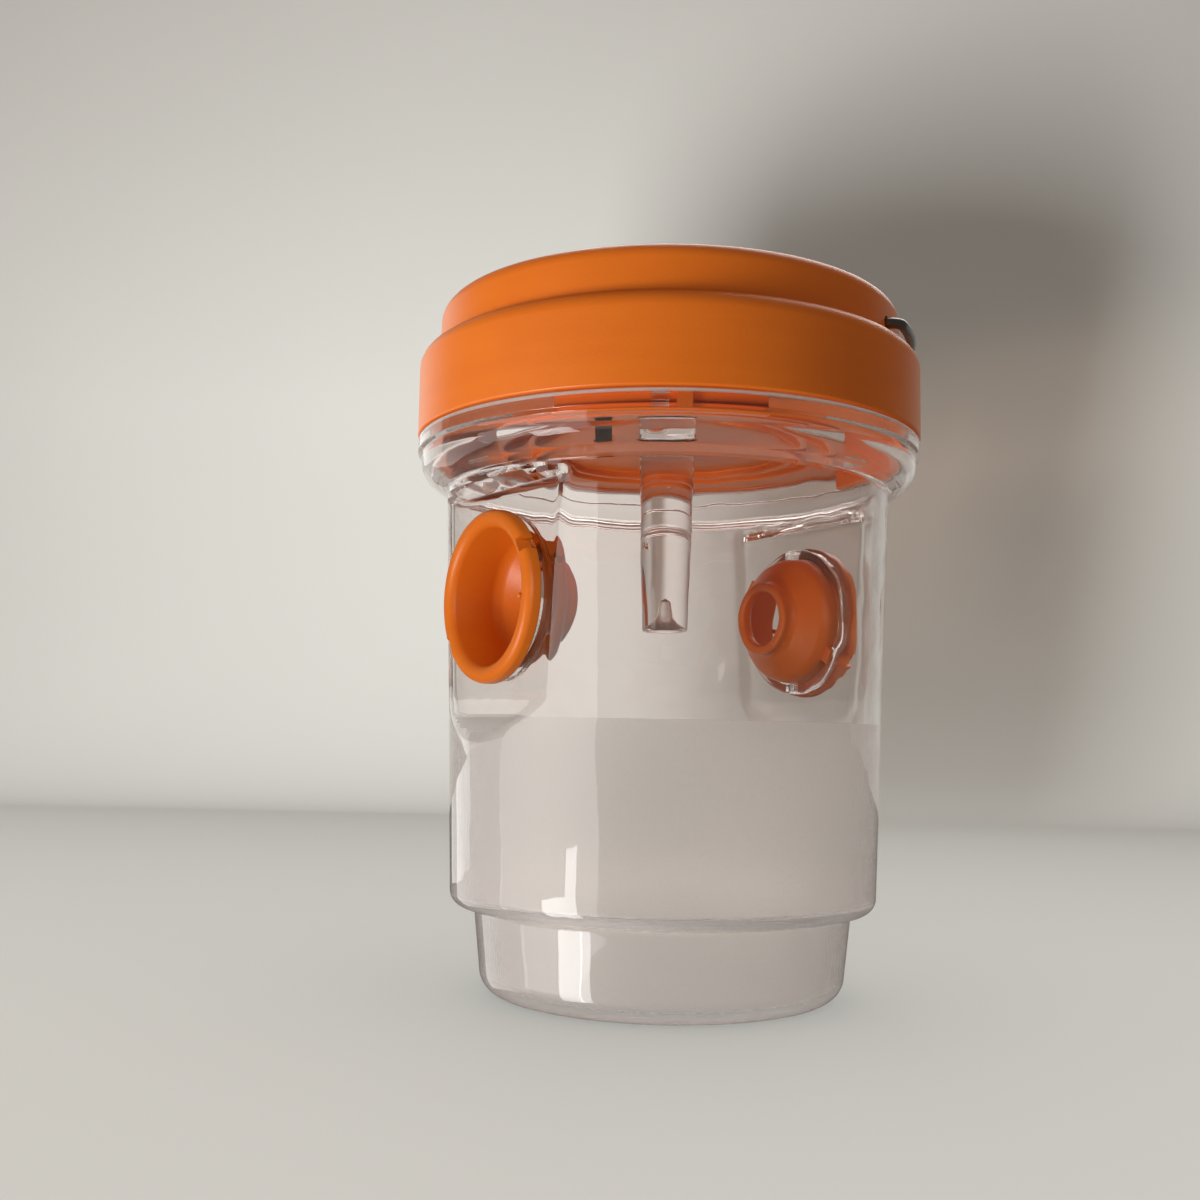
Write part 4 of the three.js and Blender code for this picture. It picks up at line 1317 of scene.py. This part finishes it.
# %% Window panes
WINDOW_DISTANCE = 1.0
GLINT_SHARE = 0.35
PANES = [
    ("narrow_pane", -45.8, -21.8, (0.110, 0.43), 2.9, [left_funnel]),
    ("wide_pane", -56.0, -23.5, (0.245, 0.40), 6.8, []),
]
for name, azimuth, elevation, size, power, shaded in PANES:
    place = (azimuth, elevation, WINDOW_DISTANCE, size)
    window = trap_light("window_" + name, *place, power)
    link_light(window, "EXCLUDE", wall, floor, jar, *shaded)
    glint = trap_light("glint_" + name, *place, GLINT_SHARE * power)
    link_light(glint, "INCLUDE", jar)
print("window panes:", len(PANES))

# %% [markdown]
# ## Pale panels
# Gloss needs something to mirror. Three wide, weak panels on the left stand in for a pale room. They only
# show as sheen, and throw no light of their own on what is matte or lies behind clear plastic.

# %% Sheen panels
SHEEN_DISTANCE = 1.0
SHEEN_PANELS = [
    ("pale_left", -62.0, -8.0, (1.11, 0.6), 4.6),
    ("pale_low_left", -115.0, -14.0, (0.9, 0.5), 1.7),
    ("pale_far_left", -136.0, 10.0, (0.6, 0.7), 1.2),
]
for name, azimuth, elevation, size, power in SHEEN_PANELS:
    sheen = trap_light(name, azimuth, elevation, SHEEN_DISTANCE, size, power)
    sheen.visible_diffuse = False
    sheen.visible_transmission = False
    link_light(sheen, "EXCLUDE", wall, floor, left_funnel)
print("sheen panels:", len(SHEEN_PANELS))

# %% [markdown]
# ## Lights for single surfaces
# A fill keeps the funnels from going dark on the right, a light from below shows the ribs under the lid,
# and one from behind lifts the lid's back. The floor is lit from overhead without shadows. Last, a small
# lamp close to the camera reaches only the wall, and throws the trap's shadow there as in the photograph.

# %% Fill, underside, back and backdrop
SMALL_PANEL = (0.3, 0.3)
BACK_PANEL = (0.8, 0.8)
OVERHEAD_PLACE = Vector((0, -0.5, 1.1))
OVERHEAD_TARGET = Vector((0, -0.5, 0))
OVERHEAD_SIZE = (2.8, 2.0)
OVERHEAD_SPREAD = math.radians(90)
SHADOW_PLACE = Vector((-0.068, -0.272, 0.015))
SHADOW_TARGET = Vector((-0.45, 0.9, 0.55))
SHADOW_SIZE = (0.05, 0.05)

fill_light = trap_light("fill_light", 25.0, 12.0, 0.6, SMALL_PANEL, 1.3)
under_light = trap_light("under_light", 5.0, -38.0, 0.6, SMALL_PANEL, 2.2)
back_light = trap_light("back_light", 165.0, 50.0, 1.0, BACK_PANEL, 5.5)
overhead_light = area_light("overhead_light", OVERHEAD_PLACE, OVERHEAD_TARGET, OVERHEAD_SIZE, 14.5)
shadow_light = area_light("shadow_light", SHADOW_PLACE, SHADOW_TARGET, SHADOW_SIZE, 15.0)
overhead_light.data.spread = OVERHEAD_SPREAD
overhead_light.data.use_shadow = False
link_light(fill_light, "INCLUDE", left_funnel, right_funnel)
link_light(under_light, "INCLUDE", underside)
link_light(back_light, "EXCLUDE", wall, floor)
link_light(overhead_light, "INCLUDE", wall, floor)
link_light(shadow_light, "INCLUDE", wall)
print("lights:", [light.name for light in bpy.data.lights])

# %% [markdown]
# ## The sky
# An even glow fills in what no light reaches. It is paler and stronger where the camera or the clear
# plastic looks past the floor, and weaker in mirror images, so that it doesn't wash out the gloss.

# %% Sky
SKY_STRENGTH = 0.3
SEEN_MORE = 0.3
REFRACTED_MORE = 0.15
MIRRORED_LESS = 0.22
SKY_WARM = (1.0, 0.86, 0.76, 1)
SKY_PALE = (1.0, 0.98, 0.95, 1)

sky = Finish("studio", bpy.data.worlds)
seen = sky.node("ShaderNodeLightPath", output="Is Camera Ray")
mirrored = sky.node("ShaderNodeLightPath", output="Is Glossy Ray")
refracted = sky.node("ShaderNodeLightPath", output="Is Transmission Ray")
sky_strength = SKY_STRENGTH + seen * SEEN_MORE + refracted * REFRACTED_MORE - mirrored * MIRRORED_LESS
sky_colour = sky.mix(seen, SKY_WARM, SKY_PALE)
glow = sky.node("ShaderNodeBackground", sockets={"Color": sky_colour, "Strength": sky_strength})
sky.node("ShaderNodeOutputWorld", sockets={"Surface": glow})
bpy.context.scene.world = sky.owner
bpy.context.scene.view_settings.view_transform = "Standard"
print("sky:", sky.owner.name)

# %% [markdown]
# ## Paths through clear plastic
# A line of sight through the jar crosses eight surfaces and bounces inside the rims, so it needs more
# bounces than Blender's usual twelve. Too few show as black lines in the collar and the rod. Caustics are
# off, because the lamps already shine through clear plastic by its Transparent shader.

# %% Bounces
CLEAR_BOUNCES = 128
SHADOW_BOUNCES = 32

cycles = bpy.context.scene.cycles
cycles.max_bounces = CLEAR_BOUNCES
cycles.transmission_bounces = CLEAR_BOUNCES
cycles.glossy_bounces = CLEAR_BOUNCES
cycles.transparent_max_bounces = SHADOW_BOUNCES
cycles.caustics_refractive = False
print("bounces:", cycles.max_bounces)
